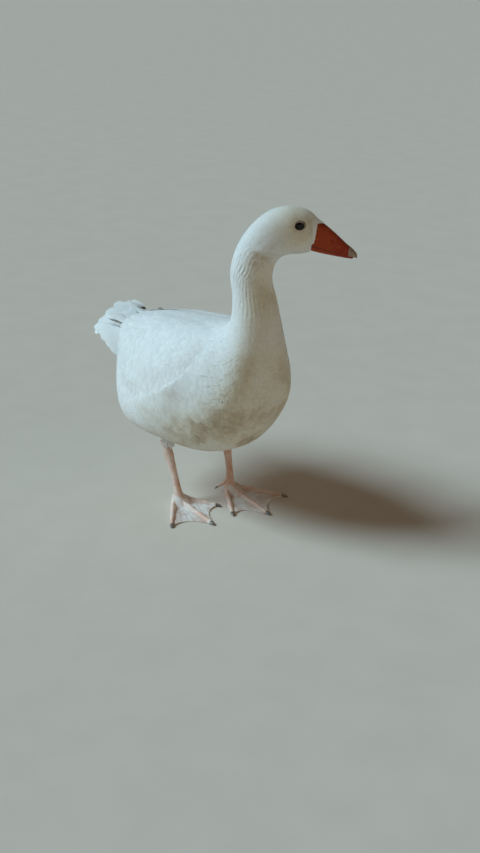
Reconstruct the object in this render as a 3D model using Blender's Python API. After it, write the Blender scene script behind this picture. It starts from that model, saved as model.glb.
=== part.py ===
"""Domestic goose, standing on both feet with its head turned to its left.

The bird faces +X, its left side is +Y and +Z is up, in metres. The body is one loft of flat
sections that fan round the base of the neck, from the rump to the base of the bill. It is cut
across into trunk, neck and head. Bill, eyes, wings, tail, legs, feet and claws are added to it.
"""

from collections import namedtuple

import bmesh
import bpy
import numpy as np
from mathutils import Vector
from mathutils.bvhtree import BVHTree

GAP = 0.0003              # space kept between two pieces that touch
WING_CLEARANCE = 0.0012   # space under a wing, which also clears the facets of the trunk
TURN_AXIS_X = 0.139       # the neck twists about the upright line through this x, at y = 0
HEAD_TURN = 53.0          # degrees that the head is turned to the left

Section = namedtuple("Section", "back belly half_width widest upper_power lower_power turn")

# One flat section per row, from rump to bill: its upper and lower point (x, z) in the plane of
# the bird, its half width, how far down it is widest, the roundness of its two halves (2 is an
# ellipse, more is squarer) and how far it is turned about the neck's upright line.
SECTIONS = [
    Section((-0.226, 0.289), (-0.232, 0.262), 0.0270, 0.50, 2.00, 2.0, 0),
    Section((-0.203, 0.302), (-0.219, 0.218), 0.0430, 0.54, 2.00, 2.1, 0),
    Section((-0.165, 0.317), (-0.188, 0.164), 0.0610, 0.57, 2.00, 2.2, 0),
    Section((-0.110, 0.332), (-0.134, 0.124), 0.0820, 0.57, 2.00, 2.3, 0),
    Section((-0.050, 0.343), (-0.068, 0.110), 0.0970, 0.54, 2.05, 2.4, 0),
    Section((0.008, 0.350), (0.002, 0.109), 0.1040, 0.50, 2.10, 2.4, 0),
    Section((0.050, 0.355), (0.066, 0.119), 0.1030, 0.48, 2.10, 2.3, 0),
    Section((0.080, 0.361), (0.121, 0.146), 0.0950, 0.50, 2.00, 2.2, 0),
    Section((0.097, 0.367), (0.161, 0.192), 0.0830, 0.54, 2.00, 2.1, 0),
    Section((0.106, 0.374), (0.186, 0.247), 0.0680, 0.60, 2.00, 2.1, 0),
    Section((0.111, 0.383), (0.193, 0.303), 0.0545, 0.60, 2.00, 2.1, 2),
    Section((0.113, 0.398), (0.193, 0.355), 0.0440, 0.56, 2.00, 2.0, 6),
    Section((0.110, 0.425), (0.185, 0.404), 0.0375, 0.52, 2.00, 2.0, 14),
    Section((0.105, 0.455), (0.1745, 0.443), 0.0345, 0.50, 2.00, 2.0, 26),
    Section((0.110, 0.485), (0.176, 0.466), 0.0335, 0.50, 2.00, 2.0, 38),
    Section((0.122, 0.513), (0.182, 0.479), 0.0325, 0.50, 2.00, 2.0, 47),
    Section((0.142, 0.5395), (0.191, 0.487), 0.0310, 0.50, 2.00, 2.0, 52),
    Section((0.168, 0.5595), (0.203, 0.490), 0.0305, 0.48, 2.00, 2.0, HEAD_TURN),
    Section((0.197, 0.5675), (0.214, 0.490), 0.0290, 0.46, 2.00, 2.1, HEAD_TURN),
    Section((0.221, 0.5645), (0.223, 0.491), 0.0255, 0.48, 2.10, 2.2, HEAD_TURN),
    Section((0.236, 0.5570), (0.231, 0.4925), 0.0215, 0.52, 2.20, 2.3, HEAD_TURN),
    Section((0.246, 0.5470), (0.237, 0.4950), 0.0185, 0.58, 2.30, 2.3, HEAD_TURN),
]

# Node name: first and last section, rings along it, points round it.
BODY_LENGTHS = {
    "trunk": (0.0, 10.3, 26, 36),
    "neck_lower": (10.3, 13.0, 8, 26),
    "neck_upper": (13.0, 16.2, 8, 26),
    "head": (16.2, 21.0, 12, 26),
}

# Swellings of the body: section, degrees from the back, spread in each, and height.
THIGH_SWELL = (3.1, 119.0, 1.6, 27.0, 0.0225)
BREAST_SWELL = (8.5, 134.0, 0.9, 26.0, 0.0045)

# Bill in the plane of the turned head: upper edge, mouth line, lower edge and half width.
BILL_SHAPE = [
    # culmen (x, z)      mouth line (x, z)   underside (x, z)   half width
    ((0.2464, 0.5466), (0.2388, 0.5035), (0.2373, 0.4948), 0.0168),
    ((0.2610, 0.5352), (0.2560, 0.4985), (0.2550, 0.4905), 0.0160),
    ((0.2775, 0.5208), (0.2740, 0.4935), (0.2730, 0.4868), 0.0143),
    ((0.2930, 0.5062), (0.2900, 0.4893), (0.2885, 0.4838), 0.0124),
    ((0.3040, 0.4965), (0.3020, 0.4862), (0.2990, 0.4820), 0.0098),
    ((0.3105, 0.4890), (0.3105, 0.4835), (0.3060, 0.4812), 0.0045),
]
NAIL_STARTS = 3.35        # place along BILL_SHAPE where the nail begins
LOWER_ENDS = 4.3          # and where the lower bill ends

EYE_RADIUS = 0.0080
EYE_PLACE = (0.2155, 0.5405)      # x, z in the plane of the turned head
EYE_OFFSET = 0.0188               # of the eyeball's centre from that plane
EYE_OPENING = (0.0064, 0.0076)    # radius of the opening at its floor and at the feathers

WING_ENDS = (0.35, 7.35)          # sections where a folded wing ends
WING_WIDEST = 4.6                 # section from which it narrows to the shoulder
WING_EDGE = 0.0012
WING_THICKNESS = 0.0068

TIP_ROOT = (-0.2275, 0.026, 0.292)    # where the long quills of a wing begin
TIP_LENGTH = 0.052
TIP_HALF_WIDTH = 0.016
TIP_THICKNESS = (0.0042, 0.0020)      # at its root and at its end
TIP_RISE = (-0.0010, 0.0095)          # along its length, and more on the left than the right

TAIL_LENGTH = 0.080
TAIL_HALF_WIDTH = 0.024           # at its root
TAIL_ROLL = 23.0                  # degrees, left side up
TAIL_TIP_HALF_ANGLE = 32.0
TAIL_HEIGHT = 0.276
TAIL_SLOPE = 0.07
TAIL_HALF_DEPTH = (0.0119, 0.0014)    # at its root and at its edge
TAIL_QUILLS = 14

HEEL_LENGTH = 0.010               # of the sole behind the ankle
TOE_SPACING = 0.0046              # between the toes at the heel
FOOT_HEIGHT = 0.0150
MOUND_RADIUS = (0.009, 0.030)     # of the ankle's flat top and of its foot
WEB_THICKNESS = 0.0020
WEB_HOLLOW = 0.14                 # how far the web's edge draws back between two toes
CLAW_LENGTH = 0.0095
HIND_CLAW_LENGTH = 0.0067

SHANK_POINTS = 9
SHANK_BOW = 0.002
THIGH_RADIUS = 0.0125

Leg = namedtuple("Leg", "side ankle hock thigh toes hind")

# Each leg: ankle and hock, top of the thigh (x, y), tips of the outer, middle and inner toe
# with their claws (x, y), and tip of the hind toe.
LEGS = {
    "left": Leg(1, (0.007, 0.054, 0.0), (-0.007, 0.056, 0.090), (0.005, 0.060),
                ((0.097, 0.120), (0.137, 0.047), (0.100, -0.008)), (-0.005, 0.027, 0.006)),
    "right": Leg(-1, (-0.008, -0.052, 0.0), (-0.033, -0.055, 0.088), (-0.025, -0.060),
                 ((0.072, -0.122), (0.109, -0.056), (0.056, -0.002)), (-0.030, -0.030, 0.006)),
}
TOE_NAMES = ("outer", "middle", "inner")

COLOURS = {
    "plumage": ((0.86, 0.87, 0.86), 0.75),
    "bill": ((0.78, 0.22, 0.06), 0.45),
    "nail": ((0.62, 0.50, 0.42), 0.40),
    "eye": ((0.02, 0.012, 0.01), 0.08),
    "leg": ((0.74, 0.38, 0.24), 0.55),
    "claw": ((0.30, 0.26, 0.23), 0.45),
}


def clear_scene():
    """Remove what the startup file holds."""
    for obj in list(bpy.data.objects):
        bpy.data.objects.remove(obj)


def make_collection(name, hidden=False):
    """Return a new collection linked to the scene."""
    made = bpy.data.collections.new(name)
    made.hide_render = hidden
    bpy.context.scene.collection.children.link(made)
    return made


def make_material(name):
    """Return the material of one kind of surface."""
    colour, roughness = COLOURS[name]
    made = bpy.data.materials.new(name)
    made.use_nodes = True
    shader = made.node_tree.nodes["Principled BSDF"]
    shader.inputs["Base Color"].default_value = (*colour, 1.0)
    shader.inputs["Roughness"].default_value = roughness
    shader.inputs["Metallic"].default_value = 0.0
    made.diffuse_color = (*colour, 1.0)
    return made


def add_mesh(name, points, faces, surface):
    """Make one object from points and faces, with its faces turned outwards."""
    mesh = bpy.data.meshes.new(name)
    mesh.from_pydata([tuple(p) for p in points], [], [tuple(int(i) for i in f) for f in faces])
    shape = bmesh.new()
    shape.from_mesh(mesh)
    bmesh.ops.recalc_face_normals(shape, faces=shape.faces)
    if shape.calc_volume(signed=True) < 0:
        bmesh.ops.reverse_faces(shape, faces=shape.faces)
    shape.to_mesh(mesh)
    shape.free()
    mesh.materials.append(MATERIALS[surface])
    made = bpy.data.objects.new(name, mesh)
    GOOSE.objects.link(made)
    return made


def loft(name, rings, surface):
    """Join closed rings of equal length, and close the first and last with a flat face."""
    rings = np.asarray(rings)
    count, around = rings.shape[:2]
    row = np.arange(count - 1)[:, None] * around
    place = np.arange(around)[None]
    after = (place + 1) % around
    quads = np.stack([row + place, row + after, row + around + after, row + around + place], -1)
    ends = [list(range(around)), list(range((count - 1) * around, count * around))]
    return add_mesh(name, rings.reshape(-1, 3), quads.reshape(-1, 4).tolist() + ends, surface)


def slab(name, top, bottom, surface):
    """Close two matching grids of points with a wall round their edge."""
    rows, columns = top.shape[:2]
    index = np.arange(rows * columns).reshape(rows, columns)
    cell = np.stack([index[:-1, :-1], index[1:, :-1], index[1:, 1:], index[:-1, 1:]], -1).reshape(-1, 4)
    edge = np.concatenate([index[0, :-1], index[:-1, -1], index[-1, :0:-1], index[:0:-1, 0]])
    following = np.roll(edge, -1)
    below = rows * columns
    wall = np.stack([edge, following, following + below, edge + below], -1)
    points = np.concatenate([top.reshape(-1, 3), bottom.reshape(-1, 3)])
    return add_mesh(name, points, np.concatenate([cell, cell[:, ::-1] + below, wall]).tolist(), surface)


def smooth(table, at):
    """Read a table of rows at fractional places, along curves that pass through its rows."""
    table = np.asarray(table, float)
    last = len(table) - 1
    at = np.clip(np.asarray(at, float), 0, last)
    low = np.minimum(at.astype(int), last - 1)
    part = (at - low)[..., None]
    padded = np.vstack([2 * table[0] - table[1], table, 2 * table[-1] - table[-2]])
    a, b, c, d = (padded[low + step] for step in range(4))
    return 0.5 * (2 * b + (c - a) * part + (2 * a - 5 * b + 4 * c - d) * part**2
                  + (3 * b - a - 3 * c + d) * part**3)


def turned(x, side, z, degrees):
    """Turn points of the bird's plane, moved sideways, about the neck's upright line."""
    angle = np.radians(degrees)
    ahead = x - TURN_AXIS_X
    return np.stack([TURN_AXIS_X + ahead * np.cos(angle) - side * np.sin(angle),
                     ahead * np.sin(angle) + side * np.cos(angle), z + 0 * ahead], -1)


def power(value, roundness):
    """Signed power used by a superellipse."""
    return np.sign(value) * np.abs(value) ** (2 / roundness)


def swell(at, angle, shape):
    """Height of a swelling on both sides of the body."""
    section, degrees, spread, spread_degrees, height = shape
    along = (at - section) / spread
    across = (np.abs(np.degrees(angle)) - degrees) / spread_degrees
    return height * np.exp(-along**2 - across**2)


def body(at, angle, grow=0.0):
    """Points of the body's surface: section place, and angle from the back (left is positive)."""
    at, angle, grow = np.broadcast_arrays(np.asarray(at, float), angle, grow)
    rows = np.array([(*s.back, *s.belly, *s[2:]) for s in SECTIONS], float)
    found = smooth(rows, at)
    back, belly = found[..., 0:2], found[..., 2:4]
    half, widest, upper, lower, turn = (found[..., k] for k in range(4, 9))
    grow = grow + swell(at, angle, THIGH_SWELL) + swell(at, angle, BREAST_SWELL)
    height = np.linalg.norm(back - belly, axis=-1)
    up = (back - belly) / height[..., None]
    rise, out = np.cos(angle), np.sin(angle)
    roundness = np.where(rise >= 0, upper, lower)
    reach = np.where(rise >= 0, widest, 1 - widest) * height
    lift = power(rise, roundness) * reach + rise * grow
    side = power(out, roundness) * half + out * grow
    centre = back + widest[..., None] * (belly - back)
    return turned(centre[..., 0] + up[..., 0] * lift, side, centre[..., 1] + up[..., 1] * lift, turn)


def body_normal(at, angle):
    """Outward direction of the body's surface."""
    step = 0.01
    along = body(at + step, angle) - body(at - step, angle)
    across = body(at, angle + step) - body(at, angle - step)
    found = np.cross(along, across)
    return found / np.linalg.norm(found, axis=-1, keepdims=True)


def body_length(name):
    """Make one length of the body, set back from its neighbours by half a gap at each cut."""
    first, last, rings, around = BODY_LENGTHS[name]
    at = np.linspace(first, last, rings)[:, None]
    angle = np.linspace(-np.pi, np.pi, around, endpoint=False)[None]
    points = body(at, angle)
    for end, inner in ((0, 1), (-1, -2)):
        ring = points[end]
        quarter = around // 4
        flat = np.cross(ring[quarter] - ring[0], ring[2 * quarter] - ring[0])
        flat /= np.linalg.norm(flat)
        inward = np.sign(flat @ (points[inner].mean(0) - ring.mean(0)))
        points[end] = ring + flat * inward * GAP / 2
    return loft(name, points, "plumage")


def bill_ring(at, part, around):
    """One flat section of the upper or lower bill, an arch closed by a straight mouth line."""
    rows = [(*culmen, *mouth, *under, half) for culmen, mouth, under, half in BILL_SHAPE]
    found = smooth(rows, at)
    mouth = found[2:4]
    far = found[0:2] if part == "upper" else found[4:6]
    angle = np.linspace(-np.pi / 2, np.pi / 2, around)
    shift = 0 if part == "upper" else GAP
    start = mouth + (far - mouth) / np.linalg.norm(far - mouth) * shift
    half = found[6] if part == "upper" else found[6] * 0.93
    lift = np.abs(np.cos(angle)) ** (2 / 2.2)
    side = power(np.sin(angle), 2.3) * half
    x = start[0] + (far - start)[0] * lift
    z = start[1] + (far - start)[1] * lift
    return turned(x, side, z, HEAD_TURN)


def bill_part(name, part, first, last, rings, surface):
    """Make a length of the upper or lower bill."""
    points = np.array([bill_ring(at, part, 15) for at in np.linspace(first, last, rings)])
    flat = np.cross(points[0][7] - points[0][0], points[0][-1] - points[0][0])
    flat /= np.linalg.norm(flat)
    ahead = np.sign(flat @ (points[1].mean(0) - points[0].mean(0)))
    points[0] = points[0] + flat * ahead * GAP
    return loft(name, points, surface)


def make_bill():
    """Make the upper bill, its nail and the lower bill."""
    last = len(BILL_SHAPE) - 1
    bill_part("bill_upper", "upper", 0, NAIL_STARTS, 9, "bill")
    bill_part("bill_nail", "upper", NAIL_STARTS, last, 7, "nail")
    bill_part("bill_lower", "lower", 0, LOWER_ENDS, 9, "bill")


def make_eyes(head):
    """Make both eyeballs, and cut their openings in the head."""
    for name, side in (("left", 1), ("right", -1)):
        centre = turned(EYE_PLACE[0], side * EYE_OFFSET, EYE_PLACE[1], HEAD_TURN)
        out = Vector(turned(EYE_PLACE[0], side * (EYE_OFFSET + 1), EYE_PLACE[1], HEAD_TURN) - centre)
        turn = out.to_track_quat("Z", "Y").to_matrix().to_4x4()
        ball = bmesh.new()
        bmesh.ops.create_uvsphere(ball, u_segments=14, v_segments=8, radius=EYE_RADIUS)
        bmesh.ops.transform(ball, matrix=turn, verts=ball.verts)
        mesh = bpy.data.meshes.new("eye_" + name)
        ball.to_mesh(mesh)
        ball.free()
        mesh.materials.append(MATERIALS["eye"])
        eye = bpy.data.objects.new("eye_" + name, mesh)
        eye.location = centre
        GOOSE.objects.link(eye)

        floor = EYE_RADIUS * 0.55
        shape = bmesh.new()
        bmesh.ops.create_cone(shape, segments=14, cap_ends=True, radius1=EYE_OPENING[0],
                              radius2=EYE_OPENING[1], depth=2 * EYE_RADIUS - floor)
        bmesh.ops.translate(shape, vec=(0, 0, EYE_RADIUS + floor / 2), verts=shape.verts)
        bmesh.ops.transform(shape, matrix=turn, verts=shape.verts)
        cut_away(head, "opening_" + name, shape, centre)
        shape = bmesh.new()
        bmesh.ops.create_uvsphere(shape, u_segments=14, v_segments=8, radius=EYE_RADIUS + GAP)
        bmesh.ops.transform(shape, matrix=turn, verts=shape.verts)
        cut_away(head, "socket_" + name, shape, centre)


def cut_away(target, name, shape, centre):
    """Cut a shape from an object with a Boolean."""
    mesh = bpy.data.meshes.new(name)
    shape.to_mesh(mesh)
    shape.free()
    cutter = bpy.data.objects.new(name, mesh)
    cutter.location = centre
    cutter.hide_render = True
    CUTTERS.objects.link(cutter)
    modifier = target.modifiers.new(name, "BOOLEAN")
    modifier.operation = "DIFFERENCE"
    modifier.solver = "EXACT"
    modifier.object = cutter


def wing_span(at):
    """Degrees from the back of a folded wing's upper and lower edge at a section."""
    front = np.clip((at - WING_WIDEST) / (WING_ENDS[1] - WING_WIDEST), 0, 1)
    rear = np.clip((1.8 - at) / 1.8, 0, 1)
    upper = 13.0 + 21.0 * front**3 - 3.0 * rear
    lower = 94.0 - 45.0 * front**2.2 - 20.0 * rear
    return upper, lower


def make_wing(name, side):
    """Make one folded wing, a shell that lies on the trunk and is thickest in its middle."""
    along = np.linspace(0, 1, 16)[:, None]
    across = np.linspace(0, 1, 10)[None]
    at = WING_ENDS[0] + (WING_ENDS[1] - WING_ENDS[0]) * along
    upper, lower = wing_span(at)
    angle = side * np.radians(upper + (lower - upper) * across)
    fullness = (np.sin(np.pi * along) * np.sin(np.pi * across)) ** 0.6
    thickness = WING_EDGE + (WING_THICKNESS - WING_EDGE) * fullness
    inner = body(at, angle) + body_normal(at, angle) * WING_CLEARANCE
    outer = inner + body_normal(at, angle) * thickness[..., None]
    return slab("wing_" + name, outer, inner, "plumage")


def make_wing_tip(name, side):
    """Make the long quills of one wing, a blade that lies over the rump beside the tail."""
    along = np.linspace(0, 1, 8)[:, None]
    across = np.linspace(-1, 1, 6)[None]
    half = TIP_HALF_WIDTH * np.sqrt(np.clip(1.02 - along**3, 0, 1)) * (0.75 + 0.25 * along)
    x = TIP_ROOT[0] - TIP_LENGTH * along + 0 * across
    y = side * (TIP_ROOT[1] - 0.003 * along + 0.9 * half * across)
    z = TIP_ROOT[2] + (TIP_RISE[0] + side * TIP_RISE[1]) * along
    z = z - 0.003 * across**2 * (1 - 0.4 * along) - 0.10 * half * across
    root, end = TIP_THICKNESS
    thickness = root + (end - root) * along - 0.001 * across**2
    return slab("wing_tip_" + name, np.stack([x, y, z + thickness], -1), np.stack([x, y, z], -1), "plumage")


def make_tail():
    """Make the tail, a fan of quills that is thick at its root and thin at its edge."""
    along = np.linspace(0, 1, 7)[:, None]
    across = np.linspace(-1, 1, TAIL_QUILLS + 1)[None]
    angle = np.radians(TAIL_TIP_HALF_ANGLE) * across
    scallop = 1 - 0.015 * (1 - np.cos(TAIL_QUILLS / 2 * np.pi * across))
    reach = TAIL_LENGTH * (1 - 0.12 * across**2) * scallop
    behind = along * reach * np.cos(angle * along)
    side = TAIL_HALF_WIDTH * across + 0.92 * along * reach * np.sin(angle)
    root, edge = TAIL_HALF_DEPTH
    depth = edge + (root - edge) * (1 - along) ** 1.6
    depth = depth * np.sqrt(1 - 0.75 * np.abs(across) ** 2.5)
    roll = np.radians(TAIL_ROLL) * along**0.7
    rise = TAIL_HEIGHT + TAIL_SLOPE * behind + side * np.sin(roll) - 0.005 * across**2 * along
    back, belly = SECTIONS[0].back, SECTIONS[0].belly
    lean = (back[0] - belly[0]) / (back[1] - belly[1])
    faces = []
    for z in (rise + depth, rise - depth):
        x = back[0] - GAP - behind + lean * (z - back[1]) * (1 - along)
        faces.append(np.stack(np.broadcast_arrays(x, side * np.cos(roll), z), -1))
    return slab("tail", *faces, "plumage")


def toe_line(leg, toe):
    """Heel point, tip without claw and direction of one toe."""
    ankle = np.array(leg.ankle[:2])
    tip = np.array(leg.toes[toe])
    ahead = (np.array(leg.toes[1]) - ankle) / np.linalg.norm(np.array(leg.toes[1]) - ankle)
    across = np.array([-ahead[1], ahead[0]]) * leg.side
    heel = ankle - ahead * HEEL_LENGTH + across * (1 - toe) * TOE_SPACING
    way = (tip - heel) / np.linalg.norm(tip - heel)
    return heel, tip - way * CLAW_LENGTH, way


def toe_half_width(along):
    """Half width of a toe from heel to tip, swelling at its joints."""
    joints = 0.0006 * np.cos(2 * np.pi * (along * 3 - 0.1)) * np.clip(along * 4, 0, 1)
    return 0.0015 + 0.0034 * np.clip(along / 0.22, 0, 1) - 0.0018 * np.clip(along - 0.3, 0, 1) + joints


def toe_height(along):
    """Height of a toe above the sole from heel to tip."""
    return 0.0100 - 0.0040 * along + 0.0005 * np.cos(2 * np.pi * (along * 3 - 0.1))


def foot_grid(leg, rows):
    """Top of a webbed foot: columns follow the toes' edges and crests and the webs between."""
    along = np.linspace(0, 1, rows)
    columns = []
    for toe in range(3):
        heel, tip, way = toe_line(leg, toe)
        across = np.array([-way[1], way[0]]) * leg.side
        half = toe_half_width(along)
        crest = toe_height(along)
        centre = heel + along[:, None] * (tip - heel)
        for offset, lift in ((1.0, 0.28), (0.62, 0.80), (0.0, 1.0), (-0.62, 0.80), (-1.0, 0.28)):
            plan = centre + across * (offset * half)[:, None]
            columns.append(np.column_stack([plan, np.maximum(crest * lift, WEB_THICKNESS)]))
        if toe == 2:
            continue
        after = toe_line(leg, toe + 1)
        after_across = np.array([-after[2][1], after[2][0]]) * leg.side
        for share in (0.25, 0.5, 0.75):
            reach = along * (1 - WEB_HOLLOW * (4 * share * (1 - share)) ** 0.8 * along**2)
            half = toe_half_width(reach)[:, None]
            near = heel + reach[:, None] * (tip - heel) - across * half
            far = after[0] + reach[:, None] * (after[1] - after[0]) + after_across * half
            plan = near + share * (far - near)
            columns.append(np.column_stack([plan, np.full(rows, WEB_THICKNESS)]))
    top = np.stack(columns, 1)
    away = np.linalg.norm(top[..., :2] - np.array(leg.ankle[:2]), axis=-1)
    flat, foot = MOUND_RADIUS
    mound = FOOT_HEIGHT * np.clip((foot - away) / (foot - flat), 0, 1) ** 0.8
    top[..., 2] = np.maximum(top[..., 2], mound)
    return top


def make_foot(name, leg):
    """Make the webbed front of a foot, whose sole is one flat at the floor."""
    top = foot_grid(leg, 9)
    bottom = top.copy()
    bottom[..., 2] = 0
    return slab("foot_" + name, top, bottom, "leg")


def round_angles(around):
    """Equal steps once round a circle."""
    return np.linspace(0, 2 * np.pi, around, endpoint=False)


def leg_line(leg):
    """Points of the shank from the foot to the hock, slightly bowed forward."""
    ankle = np.array([leg.ankle[0], leg.ankle[1], FOOT_HEIGHT + GAP])
    along = np.linspace(0, 1, SHANK_POINTS)[:, None]
    bow = np.array([SHANK_BOW, 0.0, 0.0]) * np.sin(np.pi * along)
    return ankle + along * (np.array(leg.hock) - ankle) + bow


def shank_rings(leg):
    """Oval rings across the shank, the lowest of them level with the top of the foot."""
    points = leg_line(leg)
    way = np.gradient(points, axis=0)
    way[0] = (0, 0, 1)
    way /= np.linalg.norm(way, axis=1, keepdims=True)
    side = np.cross(way, [1.0, 0.0, 0.0])
    side /= np.linalg.norm(side, axis=1, keepdims=True)
    fore = np.cross(side, way)
    along = np.linspace(0, 1, SHANK_POINTS)[:, None]
    fore_radius = 0.0060 + 0.0022 * (1 - along) ** 3 + 0.0026 * along**3
    side_radius = 0.0047 + 0.0016 * (1 - along) ** 3 + 0.0022 * along**3
    angle = round_angles(14)
    return (points[:, None] + fore[:, None] * (fore_radius * np.cos(angle))[..., None]
            + side[:, None] * (side_radius * np.sin(angle))[..., None])


def make_thigh(name, leg, hock_ring, trunk):
    """Make the feathered end of the thigh, from the hock up to a flat just under the trunk."""
    points = leg_line(leg)
    way = (points[-1] - points[-2]) / np.linalg.norm(points[-1] - points[-2])
    start = hock_ring + way * GAP
    angle = round_angles(len(hock_ring))
    plan = np.array(leg.thigh) + THIGH_RADIUS * np.column_stack([1.15 * np.cos(angle), np.sin(angle)])
    surface = BVHTree.FromPolygons([v.co for v in trunk.data.vertices],
                                   [tuple(p.vertices) for p in trunk.data.polygons])
    under = np.array([surface.ray_cast(Vector((x, y, 0.0)), Vector((0, 0, 1)))[0]
                      for x, y in [*plan, leg.thigh]])
    plane = np.column_stack([under[:, :2], np.ones(len(under))])
    level = plane @ np.linalg.lstsq(plane, under[:, 2], rcond=None)[0]
    level -= (level - under[:, 2]).max() + 2 * GAP
    top = np.column_stack([plan, level[:-1]])
    shares = np.array([0, 0.15, 0.35, 0.55, 0.8, 1.0])[:, None, None]
    rings = start * (1 - shares) + top * shares
    fullness = 1 + 0.60 * shares * (1 - shares)
    middle = rings.mean(1, keepdims=True)
    rings = middle + (rings - middle) * fullness
    return loft("thigh_" + name, rings, "plumage")


def make_claw(name, root, way):
    """Make one blunt claw at a toe's tip, drooping to its point."""
    way = np.append(way, 0.0)
    side = np.array([-way[1], way[0], 0.0])
    width = 0.92 * toe_half_width(np.array(1.0))
    height = toe_height(np.array(1.0))
    part = np.array([0, 0.45, 0.8, 1.0])[:, None, None]
    size = 1 - 0.80 * part**1.6
    angle = round_angles(8)[None, :, None]
    up = np.array([0, 0, 1.0])
    rings = (np.append(root, 0.0) + way * (GAP + part * CLAW_LENGTH) + up * height * (0.55 - 0.32 * part)
             + side * np.cos(angle) * width * size + up * np.sin(angle) * 0.42 * height * size)
    return loft("claw_" + name, rings, "claw")


def make_hind_toe(name, leg):
    """Make the small hind toe, set high behind the ankle, and its claw."""
    shank = leg_line(leg)[1]
    start = np.array([leg.ankle[0] - 0.0075, leg.ankle[1] - leg.side * 0.004, 0.0215])
    start = start + 0.0028 * (start - shank) / np.linalg.norm(start - shank)
    tip = np.array(leg.hind)
    way = (tip - start) / np.linalg.norm(tip - start)
    end = tip - way * HIND_CLAW_LENGTH
    side = np.cross(way, [0, 0, 1.0])
    side /= np.linalg.norm(side)
    angle = round_angles(10)[None, :, None]
    round_it = side * np.cos(angle) + np.cross(side, way) * np.sin(angle)
    part = np.linspace(0, 1, 5)[:, None, None]
    sag = np.array([0, 0, -0.0015]) * np.sin(np.pi * part)
    loft("hind_toe_" + name, start + part * (end - start) + sag + round_it * (0.0035 - 0.0011 * part), "leg")
    part = np.array([0, 0.45, 1.0])[:, None, None]
    claw = end + way * (GAP + part * HIND_CLAW_LENGTH) + round_it * (0.0022 - 0.0015 * part**1.6)
    loft("claw_" + name + "_hind", claw, "claw")


def make_leg(name, leg, trunk):
    """Make one leg with its foot and claws."""
    make_foot(name, leg)
    rings = shank_rings(leg)
    loft("shank_" + name, rings, "leg")
    make_thigh(name, leg, rings[-1], trunk)
    make_hind_toe(name, leg)
    for toe, toe_name in enumerate(TOE_NAMES):
        tip, way = toe_line(leg, toe)[1:]
        make_claw(name + "_" + toe_name, tip, way)


def settle_origin():
    """Move everything so that the origin is under the middle of the goose's box."""
    graph = bpy.context.evaluated_depsgraph_get()
    corners = []
    for obj in GOOSE.objects:
        mesh = obj.evaluated_get(graph).to_mesh()
        points = np.empty(len(mesh.vertices) * 3, np.float32)
        mesh.vertices.foreach_get("co", points)
        corners.append(points.reshape(-1, 3) + np.array(obj.location))
    corners = np.concatenate(corners)
    low, high = corners.min(0), corners.max(0)
    shift = Vector((-(low[0] + high[0]) / 2, -(low[1] + high[1]) / 2, -low[2]))
    for obj in [*GOOSE.objects, *CUTTERS.objects]:
        obj.location = obj.location + shift
    print("shift", *(round(value, 5) for value in shift), "size", *np.round(high - low, 4))


clear_scene()
GOOSE = make_collection("domestic_goose")
CUTTERS = make_collection("cutters", hidden=True)
MATERIALS = {name: make_material(name) for name in COLOURS}
BODY = {name: body_length(name) for name in BODY_LENGTHS}
make_bill()
make_eyes(BODY["head"])
for side_name, side_sign in (("left", 1), ("right", -1)):
    make_wing(side_name, side_sign)
    make_wing_tip(side_name, side_sign)
    make_leg(side_name, LEGS[side_name], BODY["trunk"])
make_tail()
bpy.context.view_layer.update()
settle_origin()
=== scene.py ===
"""Domestic goose: skin, plumage, bill, eyes, legs and feet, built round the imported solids.

The bird faces +X, its left side is +Y and +Z is up, in metres. Its outline is one sheet over
two values: a station, from the tail at -2 to the base of the bill at 21, and an angle from the
middle of the back, positive on the left. Feathers are thin closed vanes laid on such a sheet.
"""

import sys
import logging
from dataclasses import dataclass, field
from enum import Enum
from typing import Callable

import bpy
import numpy as np
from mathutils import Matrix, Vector
from numpy.typing import NDArray


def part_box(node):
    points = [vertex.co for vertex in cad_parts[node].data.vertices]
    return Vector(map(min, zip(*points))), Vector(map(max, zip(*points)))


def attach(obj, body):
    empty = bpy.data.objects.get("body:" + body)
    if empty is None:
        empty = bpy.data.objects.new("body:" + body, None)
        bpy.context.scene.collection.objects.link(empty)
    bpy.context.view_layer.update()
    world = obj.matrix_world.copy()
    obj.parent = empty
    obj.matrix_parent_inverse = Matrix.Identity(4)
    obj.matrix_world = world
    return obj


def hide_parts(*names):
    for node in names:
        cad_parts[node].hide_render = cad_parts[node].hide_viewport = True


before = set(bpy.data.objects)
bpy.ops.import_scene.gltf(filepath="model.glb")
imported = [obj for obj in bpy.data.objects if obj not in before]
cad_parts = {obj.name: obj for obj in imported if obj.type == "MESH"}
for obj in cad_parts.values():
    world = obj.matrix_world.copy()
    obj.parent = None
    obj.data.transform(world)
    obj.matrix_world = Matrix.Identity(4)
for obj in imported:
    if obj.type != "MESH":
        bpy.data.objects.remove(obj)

Array = NDArray[np.float64]
Table = tuple[tuple[float, ...], tuple[float, ...]]     # places, and the value at each
Places = Callable[[Array, Array], Array]                # a function of a sheet's two parameters
Rows = tuple[tuple[float, ...], ...]                    # rows of a table
Material = bpy.types.Material
LOG = logging.getLogger("goose")

HEAD_TURN = 53.0            # degrees that the head is turned to the left
TURN_AXIS_X = 0.139         # the neck twists about the upright line through this x
UP = np.array([0.0, 0.0, 1.0])
TUFT_PATCH = 0.003          # width of one vane's patch on the coat's map


class Side(Enum):
    """One side of the bird. The value is the sign of y."""

    LEFT = 1
    RIGHT = -1

    @property
    def word(self) -> str:
        """The side's name as the nodes spell it."""
        return self.name.lower()


# ---- small mathematics


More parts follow.
